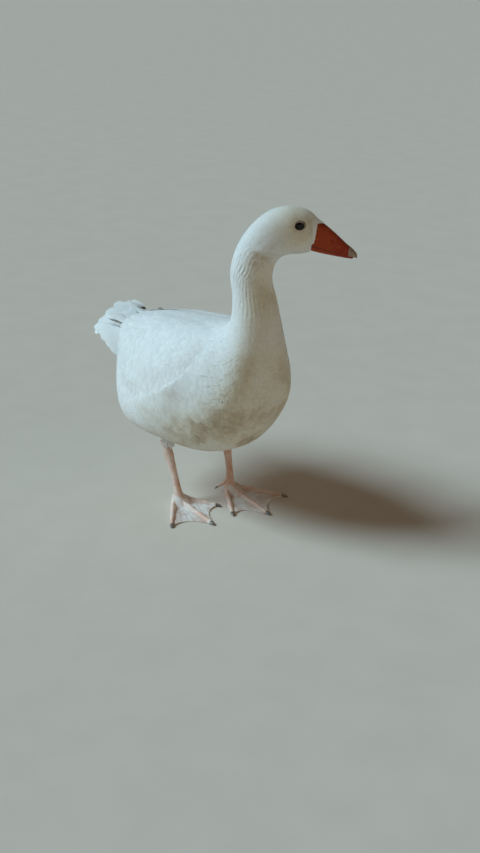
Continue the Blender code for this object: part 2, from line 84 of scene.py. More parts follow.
def smooth_table(table: Array, at: Array) -> Array:
    """Read a table of rows at fractional places.

    Between two rows each value follows the Catmull-Rom cubic through its four nearest rows, and
    past the ends it goes on in a straight line.

    Args:
        table: One row for each whole place.
        at: Places to read, of any shape.

    Returns:
        The rows found, with one more axis than at.
    """
    last = len(table) - 1
    low = np.clip(np.floor(at).astype(int), 0, last - 1)
    part = (at - low)[..., None]
    inner = held(part)
    padded = np.vstack([2 * table[0] - table[1], table, 2 * table[-1] - table[-2]])
    a, b, c, d = (padded[low + step] for step in range(4))
    curve = 0.5 * (2 * b + (c - a) * inner + (2 * a - 5 * b + 4 * c - d) * inner**2
                   + (3 * b - a - 3 * c + d) * inner**3)
    slope = np.where(part < 0, 0.5 * (c - a), 0.5 * (d - b))
    return curve + slope * (part - inner)


def held(value: Array) -> Array:
    """The value held between 0 and 1."""
    return np.clip(value, 0, 1)


def stacked(*values: Array | float) -> Array:
    """Values of each point put side by side on a last axis."""
    return np.stack(np.broadcast_arrays(*values), -1)


def ease(value: Array) -> Array:
    """Smooth step from 0 to 1 as the value goes from 0 to 1: 3v^2 - 2v^3."""
    value = held(value)
    return value * value * (3 - 2 * value)


def window(value: Array, start: float, rise: float, end: float, fall: float) -> Array:
    """Ease up over rise from the start, and down over fall to the end."""
    return ease((value - start) / rise) * ease((end - value) / fall)


def bump(value: Array) -> Array:
    """A bell of height 1 at 0: the exponential of minus the square."""
    return np.exp(-np.square(value))


def power(value: Array, roundness: Array | float) -> Array:
    """Signed power that a superellipse uses: sign(v) |v|^(2 / roundness)."""
    return np.sign(value) * np.abs(value) ** (2 / np.asarray(roundness))


def unit(vectors: Array) -> Array:
    """Vectors scaled to length 1."""
    return vectors / np.maximum(np.linalg.norm(vectors, axis=-1, keepdims=True), 1e-12)


def ring(count: int, start: float = 0.0) -> Array:
    """Even angles once round, in radians."""
    return np.linspace(start, start + 2 * np.pi, count, endpoint=False)


def turned(x: Array, side: Array, z: Array, degrees: Array | float) -> Array:
    """Turn points of the bird's plane, moved sideways, about the neck's upright line.

    Args:
        x: Distance ahead in the bird's plane.
        side: Distance to the left of that plane.
        z: Height.
        degrees: Turn to the left.

    Returns:
        The points, with a last axis of three.
    """
    angle = np.radians(degrees)
    ahead = x - TURN_AXIS_X
    return stacked(
        TURN_AXIS_X + ahead * np.cos(angle) - side * np.sin(angle),
        ahead * np.sin(angle) + side * np.cos(angle), z)


# ---- meshes


def placed(name: str, data: bpy.types.ID) -> bpy.types.Object:
    """An object made of the given data and put into the scene."""
    obj = bpy.data.objects.new(name, data)
    bpy.context.scene.collection.objects.link(obj)
    return obj


def grid_faces(rows: int, columns: int, around: bool = False) -> Array:
    """Quads between neighbouring points of a grid.

    Args:
        rows: Number of rows of points.
        columns: Number of points in a row.
        around: Whether the last column joins the first.

    Returns:
        One row of four point numbers for each quad.
    """
    place = np.arange(columns if around else columns - 1)[None]
    row = np.arange(rows - 1)[:, None] * columns
    after = (place + 1) % columns
    return stacked(row + place, row + after, row + columns + after, row + columns + place).reshape(-1, 4)


def signed_volume(points: Array, faces: Array) -> float:
    """Volume inside closed faces, negative where they point inwards.

    It is the sum over the faces, cut into triangles from their first corner, of a sixth of the
    determinant of the three corners.
    """
    points = points - points.mean(0)
    total = 0.0
    for step in range(1, faces.shape[1] - 1):
        a, b, c = (points[faces[:, k]] for k in (0, step, step + 1))
        total += float(np.einsum("ij,ij->", a, np.cross(b, c))) / 6
    return total


@dataclass
class Shape:
    """Closed parts gathered for one piece, with the values that its material reads.

    values holds an array for each part under each name: two numbers a point make a UV map and
    three an attribute. leans holds the directions that smooth faces are shaded towards, for a
    piece all of whose parts have them.
    """

    points: list[Array] = field(default_factory=list)
    faces: list[Array] = field(default_factory=list)
    flat: list[Array] = field(default_factory=list)
    slots: list[Array] = field(default_factory=list)
    values: dict[str, list[Array]] = field(default_factory=dict)
    leans: list[Array] = field(default_factory=list)
    count: int = 0

    def add(self, points: Array, faces: list[Array], flat: tuple[int, ...] = (), slot: int = 0,
            lean: Array | None = None, **values: Array) -> None:
        """Add one closed part, turned so that its faces point outwards.

        Args:
            points: The part's points.
            faces: Arrays of faces, each array with its own number of corners.
            flat: Numbers of the arrays whose faces are shaded flat.
            slot: Material slot of the part.
            lean: Direction that each point's smooth faces are shaded towards.
            **values: Values of each point, by name.
        """
        if lean is not None:
            self.leans.append(lean.reshape(-1, 3))
        points = points.reshape(-1, 3)
        if sum(signed_volume(points, part) for part in faces) < 0:
            faces = [part[:, ::-1] for part in faces]
        for number, part in enumerate(faces):
            self.faces.append(part + self.count)
            self.flat.append(np.full(len(part), number in flat))
            self.slots.append(np.full(len(part), slot))
        self.points.append(points)
        self.count += len(points)
        for name, found in values.items():
            self.values.setdefault(name, []).append(found.reshape(-1, found.shape[-1]))

    def add_loft(self, rings: Array, **values: Array) -> None:
        """Add closed rings joined in order, with both ends closed by fans to a middle point.

        Args:
            rings: Points, one row for each ring.
            **values: Values in the same layout, by name.
        """
        count, around = rings.shape[:2]
        place = np.arange(around)
        after = (place + 1) % around
        last = (count - 1) * around
        fans = np.concatenate([stacked(after, place, count * around),
                               stacked(last + place, last + after, count * around + 1)])
        rings, *found = (np.concatenate([part.reshape(count * around, -1),
                                         part[0].mean(0, keepdims=True), part[-1].mean(0, keepdims=True)])
                         for part in (rings, *values.values()))
        self.add(rings, [grid_faces(count, around, True), fans], **dict(zip(values, found)))

    def add_slab(self, top: Array, bottom: Array, **values: Array) -> None:
        """Add two matching grids of points, closed by a wall round their edge.

        Args:
            top: Upper grid of points.
            bottom: Lower grid of points.
            **values: Values in the same layout as top, by name.
        """
        rows, columns = top.shape[:2]
        below = rows * columns
        index = np.arange(below).reshape(rows, columns)
        cell = grid_faces(rows, columns)
        edge = np.concatenate([index[0, :-1], index[:-1, -1], index[-1, :0:-1], index[:0:-1, 0]])
        after = np.roll(edge, -1)
        wall = stacked(after, edge, edge + below, after + below)
        doubled = {name: np.tile(found.reshape(below, -1), (2, 1)) for name, found in values.items()}
        self.add(np.stack([top, bottom]), [cell, cell[:, ::-1] + below, wall], **doubled)

    def mesh(self, name: str, shift: Array) -> bpy.types.Mesh:
        """Make the mesh.

        Args:
            name: Name of the mesh.
            shift: How far every point moves.

        Returns:
            The mesh.
        """
        mesh = bpy.data.meshes.new(name)
        corners = np.concatenate([part.ravel() for part in self.faces])
        sizes = np.concatenate([np.full(len(part), part.shape[1]) for part in self.faces])
        mesh.vertices.add(self.count)
        mesh.vertices.foreach_set("co", (np.concatenate(self.points) + shift).ravel())
        mesh.loops.add(len(corners))
        mesh.loops.foreach_set("vertex_index", corners)
        mesh.polygons.add(len(sizes))
        mesh.polygons.foreach_set("loop_start", np.concatenate([[0], np.cumsum(sizes)[:-1]]))
        mesh.polygons.foreach_set("material_index", np.concatenate(self.slots))
        mesh.polygons.foreach_set("use_smooth", ~np.concatenate(self.flat))
        mesh.update(calc_edges=True)
        for value_name, parts in self.values.items():
            found = np.concatenate(parts)
            if found.shape[1] == 2:
                layer = mesh.uv_layers.new(name=value_name)
                layer.uv.foreach_set("vector", found[corners].ravel())
            else:
                made = mesh.attributes.new(value_name, "FLOAT_VECTOR", "POINT")
                made.data.foreach_set("vector", found.ravel())
        if self.leans:
            shaded = np.concatenate(self.leans)[corners]
            shaded[np.repeat(np.concatenate(self.flat), sizes)] = 0
            mesh.normals_split_custom_set(shaded)
        return mesh


# ---- the bird's outline


STATIONS = np.array([
    # In millimetres: back x, z, belly x, z, half width. Then the widest line's share of the way
    # down, the roundness above and below it, and the turn in degrees.
    (-282, 284, -284, 274, 44, 0.5, 2.0, 2.0, 0),
    (-255, 286.5, -258, 268, 34, 0.5, 2.0, 2.0, 0),
    (-226, 289, -232, 262, 27, 0.5, 2.0, 2.0, 0),
    (-203, 302, -219, 218, 43, 0.54, 2.0, 2.1, 0),
    (-165, 317, -188, 164, 61, 0.57, 2.0, 2.2, 0),
    (-110, 332, -134, 124, 82, 0.57, 2.0, 2.3, 0),
    (-50, 343, -68, 110, 97, 0.54, 2.05, 2.4, 0),
    (8, 350, 2, 109, 104, 0.5, 2.1, 2.4, 0),
    (50, 355, 66, 119, 103, 0.48, 2.1, 2.3, 0),
    (80, 361, 121, 146, 95, 0.5, 2.0, 2.2, 0),
    (97, 367, 161, 192, 83, 0.54, 2.0, 2.1, 0),
    (106, 374, 186, 247, 68, 0.6, 2.0, 2.1, 0),
    (111, 383, 193, 303, 54.5, 0.6, 2.0, 2.1, 2),
    (113, 398, 193, 355, 44, 0.56, 2.0, 2.0, 6),
    (110, 425, 185, 404, 37.5, 0.52, 2.0, 2.0, 14),
    (105, 455, 174.5, 443, 34.5, 0.5, 2.0, 2.0, 26),
    (110, 485, 176, 466, 33.5, 0.5, 2.0, 2.0, 38),
    (122, 513, 182, 479, 32.5, 0.5, 2.0, 2.0, 47),
    (142, 539.5, 191, 487, 31, 0.5, 2.0, 2.0, 52),
    (168, 559.5, 203, 490, 30.5, 0.48, 2.0, 2.0, 53),
    (197, 567.5, 214, 490, 29, 0.46, 2.0, 2.1, 53),
    (221, 564.5, 223, 491, 25.5, 0.48, 2.1, 2.2, 53),
    (236, 557, 231, 492.5, 21.5, 0.52, 2.2, 2.3, 53),
    (246, 547, 237, 495, 18.5, 0.58, 2.3, 2.3, 53),
    (261.2, 536.6, 255, 490.5, 17.2, 0.8, 2.25, 2.3, 53),
]) / (1000, 1000, 1000, 1000, 1000, 1, 1, 1, 1)
TAIL_STATIONS = 2           # rows of the table behind the rump
FIRST, LAST = -2.0, 21.0    # the coat ends at the bill, apart from a point along its ridge

# Heights of the plumage's relief, in metres, and the number of furrows round the neck.
WING_RISE, WING_EDGE, FOLD_RISE = 0.007, 0.002, 0.008
FURROW_DEPTH, FURROWS = 0.00055, 34
CHEEK_STEP, CHEEK_HOLLOW, BILL_MASK = 0.0027, 0.002, 0.0019

# Swellings of the outline: station, degrees from the back, spread in each, and height.
SWELLINGS = (
    (3.1, 119.0, 1.6, 27.0, 0.0225),    # thigh
    (8.5, 134.0, 0.9, 26.0, 0.0045),    # breast
    (18.0, 112.0, 1.1, 30.0, 0.0008),   # cheek
)

# Colour zones: station, degrees (signed), spread in each, cream, soil. Cream and soil are partly
# the plumage's own and partly painted warm shade on the cheeks, neck front, breast and belly.
ZONES = (
    (18.6, -100.0, 2.2, 65.0, 0.85, 0.26), (18.6, 100.0, 2.2, 65.0, 0.8, 0.2),
    (18.6, 0.0, 1.9, 60.0, 0.4, 0.12),
    # Painted shadow under the edge of the cheek, with some soil.
    (14.7, -104.0, 0.6, 34.0, 0.5, 1.2), (14.7, 104.0, 0.6, 34.0, 0.5, 1.2),
    # Painted shade round the eyes.
    (19.67, -75.0, 0.5, 24.0, 0.3, 0.95), (19.67, 75.0, 0.5, 24.0, 0.3, 0.95),
    (13.0, -135.0, 1.9, 45.0, 0.8, 0.2), (13.0, 150.0, 1.9, 50.0, 0.7, 0.2),
    (9.3, -140.0, 1.9, 45.0, 0.85, 0.32), (9.3, 150.0, 1.9, 45.0, 0.8, 0.3),
    # Low flanks and belly: partly soil, partly painted warm shade.
    (6.2, -117.0, 1.8, 24.0, 0.6, 0.95), (6.2, 120.0, 1.2, 24.0, 0.4, 0.6),
    (5.6, 180.0, 3.2, 44.0, 0.6, 0.6), (5.6, -180.0, 3.2, 44.0, 0.6, 0.6),
)


def wing_span(at: Array) -> tuple[Array, Array]:
    """Upper and lower edge of a folded wing, in degrees from the back, at a station.

    The upper edge falls and the lower edge rises towards the shoulder as powers of the way from
    the widest part, and both draw in a little towards the rump.
    """
    front = held((at - 4.6) / 2.75)
    rear = held((1.8 - at) / 1.8)
    return 13 + 21 * front**3 - 3 * rear, 89 - 42 * front**1.8 - 17 * rear


def flank_fold(at: Array) -> Array:
    """Degrees from the back where the flank's feathers fold up over the wing's lower edge."""
    return np.interp(at, [3.4, 4.4, 5.33, 6.0, 6.5, 7.0, 7.6], [90, 89, 85, 78, 70, 61, 50])


def outline_relief(at: Array, angle: Array) -> Array:
    """Height of the plumage over the bare outline.

    It adds the folded wing, a power of a product of sines over the wing's span, 0.6 in front and
    softer towards the rump, with a step at its edges. It adds the flank's fold, which steps up at
    its line and fades out below it, and the furrows of the neck, cosines of the angle whose phase
    wanders along the neck. The edge of the cheek steps down to a hollow along a line from the
    throat to the nape. Beside the bill the plumage thins until it is level with the horn.

    Args:
        at: Stations.
        angle: Angles from the back, in radians.

    Returns:
        Heights in metres.
    """
    side = np.abs(np.degrees(angle))
    upper, lower = wing_span(at)
    along = held((at - 0.35) / 7.0)
    across = held((side - upper) / (lower - upper))
    soft = ease((3.6 - at) / 2.0)
    inside = ease((side - upper) / 30) * ease((lower - side) / (2 + 14 * soft))
    inside = inside * ease(along / 0.02) * ease((5.9 - at) / 1.6)
    arch = (np.sin(np.pi * along) * np.sin(np.pi * across)) ** (0.6 + 0.8 * soft)
    wing = inside * WING_EDGE + WING_RISE * arch
    below = (side - flank_fold(at)) * 0.0019
    rise = window(at, 3.5, 1.5, 7.0, 1.5)
    fading = bump(np.maximum(below - 0.007, 0) / 0.032)
    fold = rise * FOLD_RISE * ease((below + 0.008) / 0.015) * fading
    patchy = 0.5 + 0.35 * np.sin(3.1 * at + 2 * angle) + 0.35 * np.sin(7.3 * at - 5 * angle + 1)
    patchy = np.clip(patchy, 0.05, 1)
    neck = window(at, 10.8, 2.0, 15.6, 1.6) * (0.35 + 0.65 * ease((side - 15) / 45))
    furrow = FURROW_DEPTH * neck * patchy * (np.cos(furrow_phase(at, angle)) - 1)
    past = at - np.interp(side, [35, 65, 105, 150], [14.6, 14.9, 15.4, 16.1])
    jaw = window(side, 72, 34, 172, 28)
    jaw = jaw * (CHEEK_STEP * ease((past + 0.08) / 0.17) * bump(np.maximum(past, 0) / 1.5)
                 - CHEEK_HOLLOW * bump((past + 0.26) / 0.36))
    mask = BILL_MASK * ease((at - 20.25) / 0.75) * np.sin(angle)**2
    return wing + fold + furrow + jaw - mask


def furrow_phase(at: Array, angle: Array) -> Array:
    """Phase of the neck's furrows: a whole number of turns round it, wandering along it."""
    return FURROWS * angle + 2.2 * np.sin(1.7 * at + 2 * angle) + 1.7 * np.sin(4.3 * at - 3 * angle + 1)


def outline(at: Array, angle: Array, raised: bool = True) -> Array:
    """Points of the bird's outline.

    A section is a superellipse in its own plane, above and below its widest line, turned about
    the neck's upright line. Behind the rump it is rolled with the tail.

    Args:
        at: Stations.
        angle: Angles from the back, in radians, positive on the left.
        raised: Whether to add the plumage's relief.

    Returns:
        The points, with a last axis of three.
    """
    at, angle = np.broadcast_arrays(np.asarray(at, float), np.asarray(angle, float))
    found = smooth_table(STATIONS, at + TAIL_STATIONS)
    back, belly = found[..., 0:2], found[..., 2:4]
    half, widest, upper, lower, turn = (found[..., k] for k in range(4, 9))
    grow = outline_relief(at, angle) if raised else np.zeros_like(at)
    side_degrees = np.abs(np.degrees(angle))
    for station, degrees, spread, spread_degrees, height in SWELLINGS:
        bell = bump((at - station) / spread) * bump((side_degrees - degrees) / spread_degrees)
        grow = grow + height * bell
    height = np.linalg.norm(back - belly, axis=-1)
    up = (back - belly) / height[..., None]
    rise, out = np.cos(angle), np.sin(angle)
    reach = np.where(rise >= 0, widest, 1 - widest) * height
    lift = power(rise, np.where(rise >= 0, upper, lower)) * reach + rise * grow
    side = power(out, np.where(rise >= 0, upper, lower)) * half + out * grow
    roll = np.radians(23) * held(-0.36 * at) ** 0.7
    lift, side = lift * np.cos(roll) + side * np.sin(roll), side * np.cos(roll) - lift * np.sin(roll)
    centre = back + widest[..., None] * (belly - back)
    return turned(centre[..., 0] + up[..., 0] * lift, side, centre[..., 1] + up[..., 1] * lift, turn)


def coat_surface(at: Array, angle: Array) -> Array:
    """Outline of the plumage, pressed in round each eye by a bell of the distance from it."""
    points = outline(at, angle)
    for side in Side:
        site = EyeSite(side)
        height, distance, _ = site.away(points)
        points = points - (0.0022 * bump(distance / 0.009) * (height > 0))[..., None] * site.axis
    return points


def coat_depth(at: Array) -> Array:
    """Depth of the coat over the skin at a station, in metres."""
    return np.interp(at, [-2, 0, 2, 8, 11, 13, 16, 18, 19.5, 21],
                     [0.003, 0.006, 0.009, 0.009, 0.0065, 0.0055, 0.0045, 0.003, 0.002, 0.0012])


def zone_marks(at: Array, angle: Array) -> Array:
    """Cream and soil of the plumage and of the skin under it, which also paint warm shade and shadow.

    Each is the sum of a bell over station and angle for every colour zone.

    Args:
        at: Stations.
        angle: Angles from the back, in radians.

    Returns:
        (cream, soil, 0) for each place.
    """
    degrees = np.degrees(angle)
    marks = np.zeros((*np.broadcast(at, angle).shape, 3))
    for station, middle, spread, spread_degrees, cream, soil in ZONES:
        away = (degrees - middle + 180) % 360 - 180
        weight = bump((at - station) / spread) * bump(away / spread_degrees)
        marks[..., 0] += cream * weight
        marks[..., 1] += soil * weight
    return held(marks)


def tail_marks(along: Array, across: Array) -> Array:
    """Marks of the tail's feathers, those of the outline's ridge at the rump."""
    return zone_marks(0 * along, 0 * across)


def thigh_marks(down: Array, angle: Array) -> Array:
    """Marks of the thighs, even all over."""
    return np.broadcast_to([0.35, 0.22, 0.0], (*np.broadcast(down, angle).shape, 3))


def body_unwrap(at: Array, angle: Array) -> Array:
    """Place of a root on the coat's map: round the bird across it, along the bird up it."""
    return stacked(0.5 + 0.96 * angle / (2 * np.pi), 0.02 + 0.96 * (at - FIRST) / (LAST + 1 - FIRST))


def tail_unwrap(along: Array, across: Array) -> Array:
    """Place of a quill's root on the coat's map."""
    return stacked(0.5 + 0.4 * across, 0.3 + 0.2 * along)


def thigh_unwrap(up: Array, angle: Array) -> Array:
    """Place of a thigh's vane on the coat's map."""
    return stacked(0.5 + 0.45 * angle / np.pi, 0.02 + 0.05 * up)


class Sheet:
    """A surface kept as a fine grid over two parameters, for feathers to be laid on."""

    def __init__(self, surface: Places, rows: Array, columns: Array, around: bool = False,
                 outward: int = 1) -> None:
        """Work out the grid.

        Args:
            surface: Function from two parameters to points.
            rows: Evenly spaced values of the first parameter.
            columns: Evenly spaced values of the second parameter.
            around: Whether the second parameter closes on itself.
            outward: -1 where the cross product of the derivatives points inwards.
        """
        self.rows, self.columns, self.around = rows, columns, around
        points = surface(rows[:, None], columns[None])
        along = np.gradient(points, rows, axis=0)
        if around:
            step = columns[1] - columns[0]
            wide = np.concatenate([points[:, -2:-1], points, points[:, 1:2]], 1)
            across = (wide[:, 2:] - wide[:, :-2]) / (2 * step)
        else:
            across = np.gradient(points, columns, axis=1)
        out = outward * unit(np.cross(along, across))
        self.layers = np.concatenate([points, out, along, across], -1)

    def read(self, row: Array, column: Array, layers: slice = slice(0, 12)) -> Array:
        """Read the grid between its points, each value mixed from the four nearest.

        Args:
            row: First parameter.
            column: Second parameter.
            layers: Which to read of twelve numbers: point, outward direction, two derivatives.

        Returns:
            The numbers.
        """
        top, wide = len(self.rows), len(self.columns)
        i = np.clip((row - self.rows[0]) / (self.rows[1] - self.rows[0]), 0, top - 1.001)
        j = (column - self.columns[0]) / (self.columns[1] - self.columns[0])
        j = j % (wide - 1) if self.around else np.clip(j, 0, wide - 1.001)
        low_i = i.astype(int)
        low_j = np.minimum(j.astype(int), wide - 2)
        u, v = (i - low_i)[..., None], (j - low_j)[..., None]
        grid = self.layers[..., layers]
        return ((grid[low_i, low_j] * (1 - v) + grid[low_i, low_j + 1] * v) * (1 - u)
                + (grid[low_i + 1, low_j] * (1 - v) + grid[low_i + 1, low_j + 1] * v) * u)


# ---- vanes


@dataclass(frozen=True)
class Vane:
    """Proportions of one kind of feather: a vane with a grid above and a plain strip beneath.

    Widths are shares of the full width and lengths shares of the length. The half width grows
    from root to 1 at widest as a quarter sine, and falls to tip as the rest of a cosine. Points
    off the midline lag behind it by the square of their distance from it, which rounds the end,
    and the end is tucked down on to the vanes behind it. crisp is the share of the vane's own
    slope, against the slope of the sheet under it, in how its upper face is shaded.
    """

    rows: tuple[float, ...]
    strips: int
    root: float = 0.45
    tuck: float = 0.00025
    crisp: float = 0.3
    tip: float = 0.6
    widest: float = 0.62
    lag: float = 0.26
    camber: float = 0.055
    fray: float = 0.035
    quill: float = 0.0

    @staticmethod
    def even(count: int) -> tuple[float, ...]:
        """Rows at even distances from root to tip."""
        return tuple(np.linspace(0, 1, count))

    def across(self) -> Array:
        """Places across the vane, from -1 to 1, closer together at the shaft of a quill."""
        even = np.linspace(-1, 1, self.strips + 1)
        return even if not self.quill else np.sign(even) * np.abs(even) ** 1.5

    def half_width(self, along: Array) -> Array:
        """Half width at a place along the vane."""
        growing = self.root + (1 - self.root) * np.sin(np.pi / 2 * held(along / self.widest))
        past = held((along - self.widest) / (1 - self.widest))
        return growing - (1 - self.tip) * (1 - np.cos(np.pi / 2 * past))

    def faces(self) -> list[Array]:
        """Faces of one vane: its grid, the strip beneath it, and fans that close both ends."""
        rows, wide = len(self.rows), self.strips + 1
        left = np.arange(rows - 1) * wide
        strip = stacked(left, left + wide, left + 2 * wide - 1, left + wide - 1)
        inner = np.arange(1, wide - 1)
        root = stacked(0 * inner, inner + 1, inner)
        tip = stacked(0 * inner, inner, inner + 1) + (rows - 1) * wide
        return [grid_faces(rows, wide), strip, np.concatenate([root, tip])]


@dataclass
class Plan:
    """Where each vane of a piece is rooted and how it lies, one number for each vane.

    row and column are its root on the sheet, lie its direction as steps of the two parameters
    for a metre ahead, and span the same for a metre across. sink is the root's depth under the
    sheet and lift the tip's height over it.
    """

    sheet: Sheet
    row: Array
    column: Array
    lie: Array
    span: Array
    length: Array
    width: Array
    sink: Array
    lift: Array

    @classmethod
    def laid(cls, sheet: Sheet, row: Array, column: Array, ahead: Array | int, yaw: Array | float,
             *sizes: Array | float) -> "Plan":
        """Plan vanes that lie along given directions.

        The direction ahead is laid flat on the surface and turned by the yaw. Its steps solve the
        pair of equations that the two derivatives' dot products give.

        Args:
            sheet: Sheet that the vanes lie on.
            row: First parameter of the roots.
            column: Second parameter of the roots.
            ahead: World directions of the vanes, or 1 or -1 for the way that the first parameter
                grows or falls.
            yaw: Turns from that direction, in radians.
            *sizes: Length, width, sink and lift, each one number for all or one for each.

        Returns:
            The plan.
        """
        found = sheet.read(row, column)
        out, along, across = found[..., 3:6], found[..., 6:9], found[..., 9:12]
        ahead = along * ahead if isinstance(ahead, int) else ahead
        ahead = unit(ahead - out * (ahead * out).sum(-1, keepdims=True))
        aside = np.cross(out, ahead)
        turn, slip = np.cos(yaw)[..., None], np.sin(yaw)[..., None]
        aa, ab, bb = (along * along).sum(-1), (along * across).sum(-1), (across * across).sum(-1)
        scale = 1 / (aa * bb - ab * ab)
        steps = []
        for way in (ahead * turn + aside * slip, aside * turn - ahead * slip):
            on_a, on_b = (along * way).sum(-1), (across * way).sum(-1)
            steps.append(stacked((bb * on_a - ab * on_b) * scale, (aa * on_b - ab * on_a) * scale))
        return cls(sheet, row, column, *steps, *np.broadcast_arrays(row, *sizes)[1:])

    def kept(self, keep: Array) -> "Plan":
        """The plan with only some of its vanes."""
        some = {name: value[keep] for name, value in vars(self).items() if name != "sheet"}
        return Plan(self.sheet, **some)


@dataclass(frozen=True)
class Ruffle:
    """How far vanes stray from even: shares of length and width, metres of height, radians."""

    size: float = 0.08
    yaw: float = 0.06
    lift: float = 0.0003
    bend: float = 0.05
    curl: float = 0.0

    def yaws(self, count: int, seed: int) -> Array:
        """Random turns of vanes from the way that they lie, in radians."""
        return self.yaw * np.random.default_rng(seed).normal(size=count).clip(-2, 2)


def add_vanes(shape: Shape, plan: Plan, vane: Vane, ruffle: Ruffle, seed: int,
              marks: Places = zone_marks, unwrap: Places = body_unwrap,
              warp: Callable[[Array], Array] | None = None) -> None:
    """Lay one vane for each root of a plan on a sheet.

    Over a vane the height goes from -sink at the root to lift at the tip as t(2 - t), so that
    tips lie flat on the vanes behind them, plus a crown across it, a curl as the square of t,
    and on a quill a narrow shaft along its midline. Its upper face is shaded towards a mix of
    its own direction and the sheet's, which makes the plumage soft.

    Args:
        shape: Shape that receives them.
        plan: Their sheet, roots, directions and sizes.
        vane: Their proportions.
        ruffle: How far they stray from even.
        seed: Seed of the random draws.
        marks: Colour marks of a place on the sheet.
        unwrap: Place of a root on the coat's map.
        warp: Last change to the points, if any.
    """
    random = np.random.default_rng(seed)
    count = len(plan.row)
    along = np.array(vane.rows)[None, :, None]
    across = vane.across()[None, None, :]
    draw = random.normal(size=(4, count, 1, 1)).clip(-2, 2)
    row, column, lie, span, length, width, sink, lift = (
        value.reshape(count, 1, 1, *value.shape[1:]) for name, value in vars(plan).items() if name != "sheet")
    length = length * (1 + ruffle.size * draw[0])
    width = width * (1 + 0.6 * ruffle.size * draw[1])
    fray = random.uniform(-1, 1, (count, 1, vane.strips + 1)) * vane.fray * along**6
    ahead = length * (along - vane.lag * across**2 * along**2 + fray)
    aside = 0.5 * width * across * vane.half_width(along)
    aside = aside + length * ruffle.bend * draw[2] * along**2
    rise = along * (2 - along)
    height = -sink + (sink + lift) * rise
    height = height + vane.camber * width * (1 - across**2) * (0.25 + 0.75 * along) - vane.tuck * along**5
    height = height + (ruffle.lift * draw[3] + ruffle.curl * np.abs(draw[3]) * along) * along**2
    if vane.quill:
        height = height + vane.quill * bump(across / 0.07) * (1 - 0.7 * along)
    row = row + ahead * lie[..., 0] + aside * span[..., 0]
    column = column + ahead * lie[..., 1] + aside * span[..., 1]
    found = plan.sheet.read(row, column, slice(0, 6))
    smooth = found[..., 3:]
    points = found[..., :3] + smooth * height[..., None]
    points = warp(points) if warp else points
    own = unit(np.cross(np.gradient(points, axis=1), np.gradient(points, axis=2)))
    facing = (own * smooth).sum(-1, keepdims=True)
    own, facing = own * np.sign(facing), np.abs(facing)
    standing = ease((facing - 0.35) / 0.45) if vane.crisp > 0.6 else 1.0
    agreed = (1 - vane.crisp) * standing
    lean = unit(own * (1 - agreed) + smooth * agreed)
    size = len(vane.rows) * (vane.strips + 1)
    offset = (np.arange(count) * size)[:, None, None]
    faces = [(part[None] + offset).reshape(-1, part.shape[1]) for part in vane.faces()]
    flat_along, flat_across = (np.broadcast_to(part, height.shape) for part in (along, across))
    patch = TUFT_PATCH * stacked(0.5 * flat_across, flat_along - 0.5)
    baked = unwrap(plan.row, plan.column)[:, None, None] + patch
    # Two random tones and the share along the vane; the plumage paints shade towards the root from the last.
    tone = stacked(random.uniform(size=(count, 1, 1)),
                                        random.uniform(size=(count, 1, 1)), flat_along)
    shape.add(points, faces, flat=(1, 2), lean=lean, OFBake=baked, tone=tone, marks=marks(row, column),
              vane=stacked(0.5 + 0.5 * flat_across, flat_along))


def straight(at: Array, line: Array) -> Array:
    """Angle of a path that keeps to the angle of its own line."""
    return line + 0 * at


def lattice(sheet: Sheet, first: float, last: float | Array, columns: Array, pitch: Table, seed: int,
            stray: float = 0.16, path: Places = straight) -> tuple[Array, Array, Array, Array]:
    """Roots in staggered rows along the paths of a tract, from its head end to its tail end.

    Along each path the distance is counted in rows, by adding up steps over the pitch, and a
    root stands at each whole number, or halfway between on every other path.

    Args:
        sheet: Sheet that the paths run on.
        first: First parameter at the tail end.
        last: First parameter at the head end, one for all paths or one for each.
        columns: One number for each path.
        pitch: Metres between rows, by the first parameter.
        seed: Seed of the random draws.
        stray: How far a root strays, in rows.
        path: Second parameter from the first and the path's number.

    Returns:
        Rows, columns, directions of lie, and distances between neighbouring paths.
    """
    random = np.random.default_rng(seed)
    gap = columns[1] - columns[0]
    lasts = np.broadcast_to(last, columns.shape)
    found: list[tuple[Array, ...]] = []
    for number, column in enumerate(columns):
        fine = np.linspace(lasts[number], first, 700)
        line = path(fine, column)
        points = sheet.read(fine, line, slice(0, 3))
        beside = sheet.read(fine, path(fine, column + 0.5 * gap), slice(0, 3))
        before = sheet.read(fine, path(fine, column - 0.5 * gap), slice(0, 3))
        step = np.linalg.norm(np.diff(points, axis=0), axis=1) / np.interp(fine, *pitch)[1:]
        rows = np.concatenate([[0], np.cumsum(step)])
        marks = np.arange(0.5 * (number % 2), rows[-1], 1.0)
        marks = np.clip(marks + stray * random.uniform(-1, 1, len(marks)), 0, rows[-1])
        way = np.gradient(points, axis=0)
        apart = np.linalg.norm(beside - before, axis=1)
        row = np.interp(marks, rows, fine)
        ways = np.stack([np.interp(marks, rows, way[:, k]) for k in range(3)], -1)
        found.append((row, path(row, np.full(len(row), column + 0.18 * gap * random.uniform(-1, 1))), ways,
                      np.interp(marks, rows, apart)))
    return tuple(np.concatenate(part) for part in zip(*found))


# ---- materials


Colour = tuple[float, float, float, float]
Socket = bpy.types.NodeSocket
Outputs = bpy.types.NodeOutputs
Tree = bpy.types.ShaderNodeTree


def rgb(red: float, green: float, blue: float) -> Colour:
    """A colour with full alpha."""
    return red, green, blue, 1.0


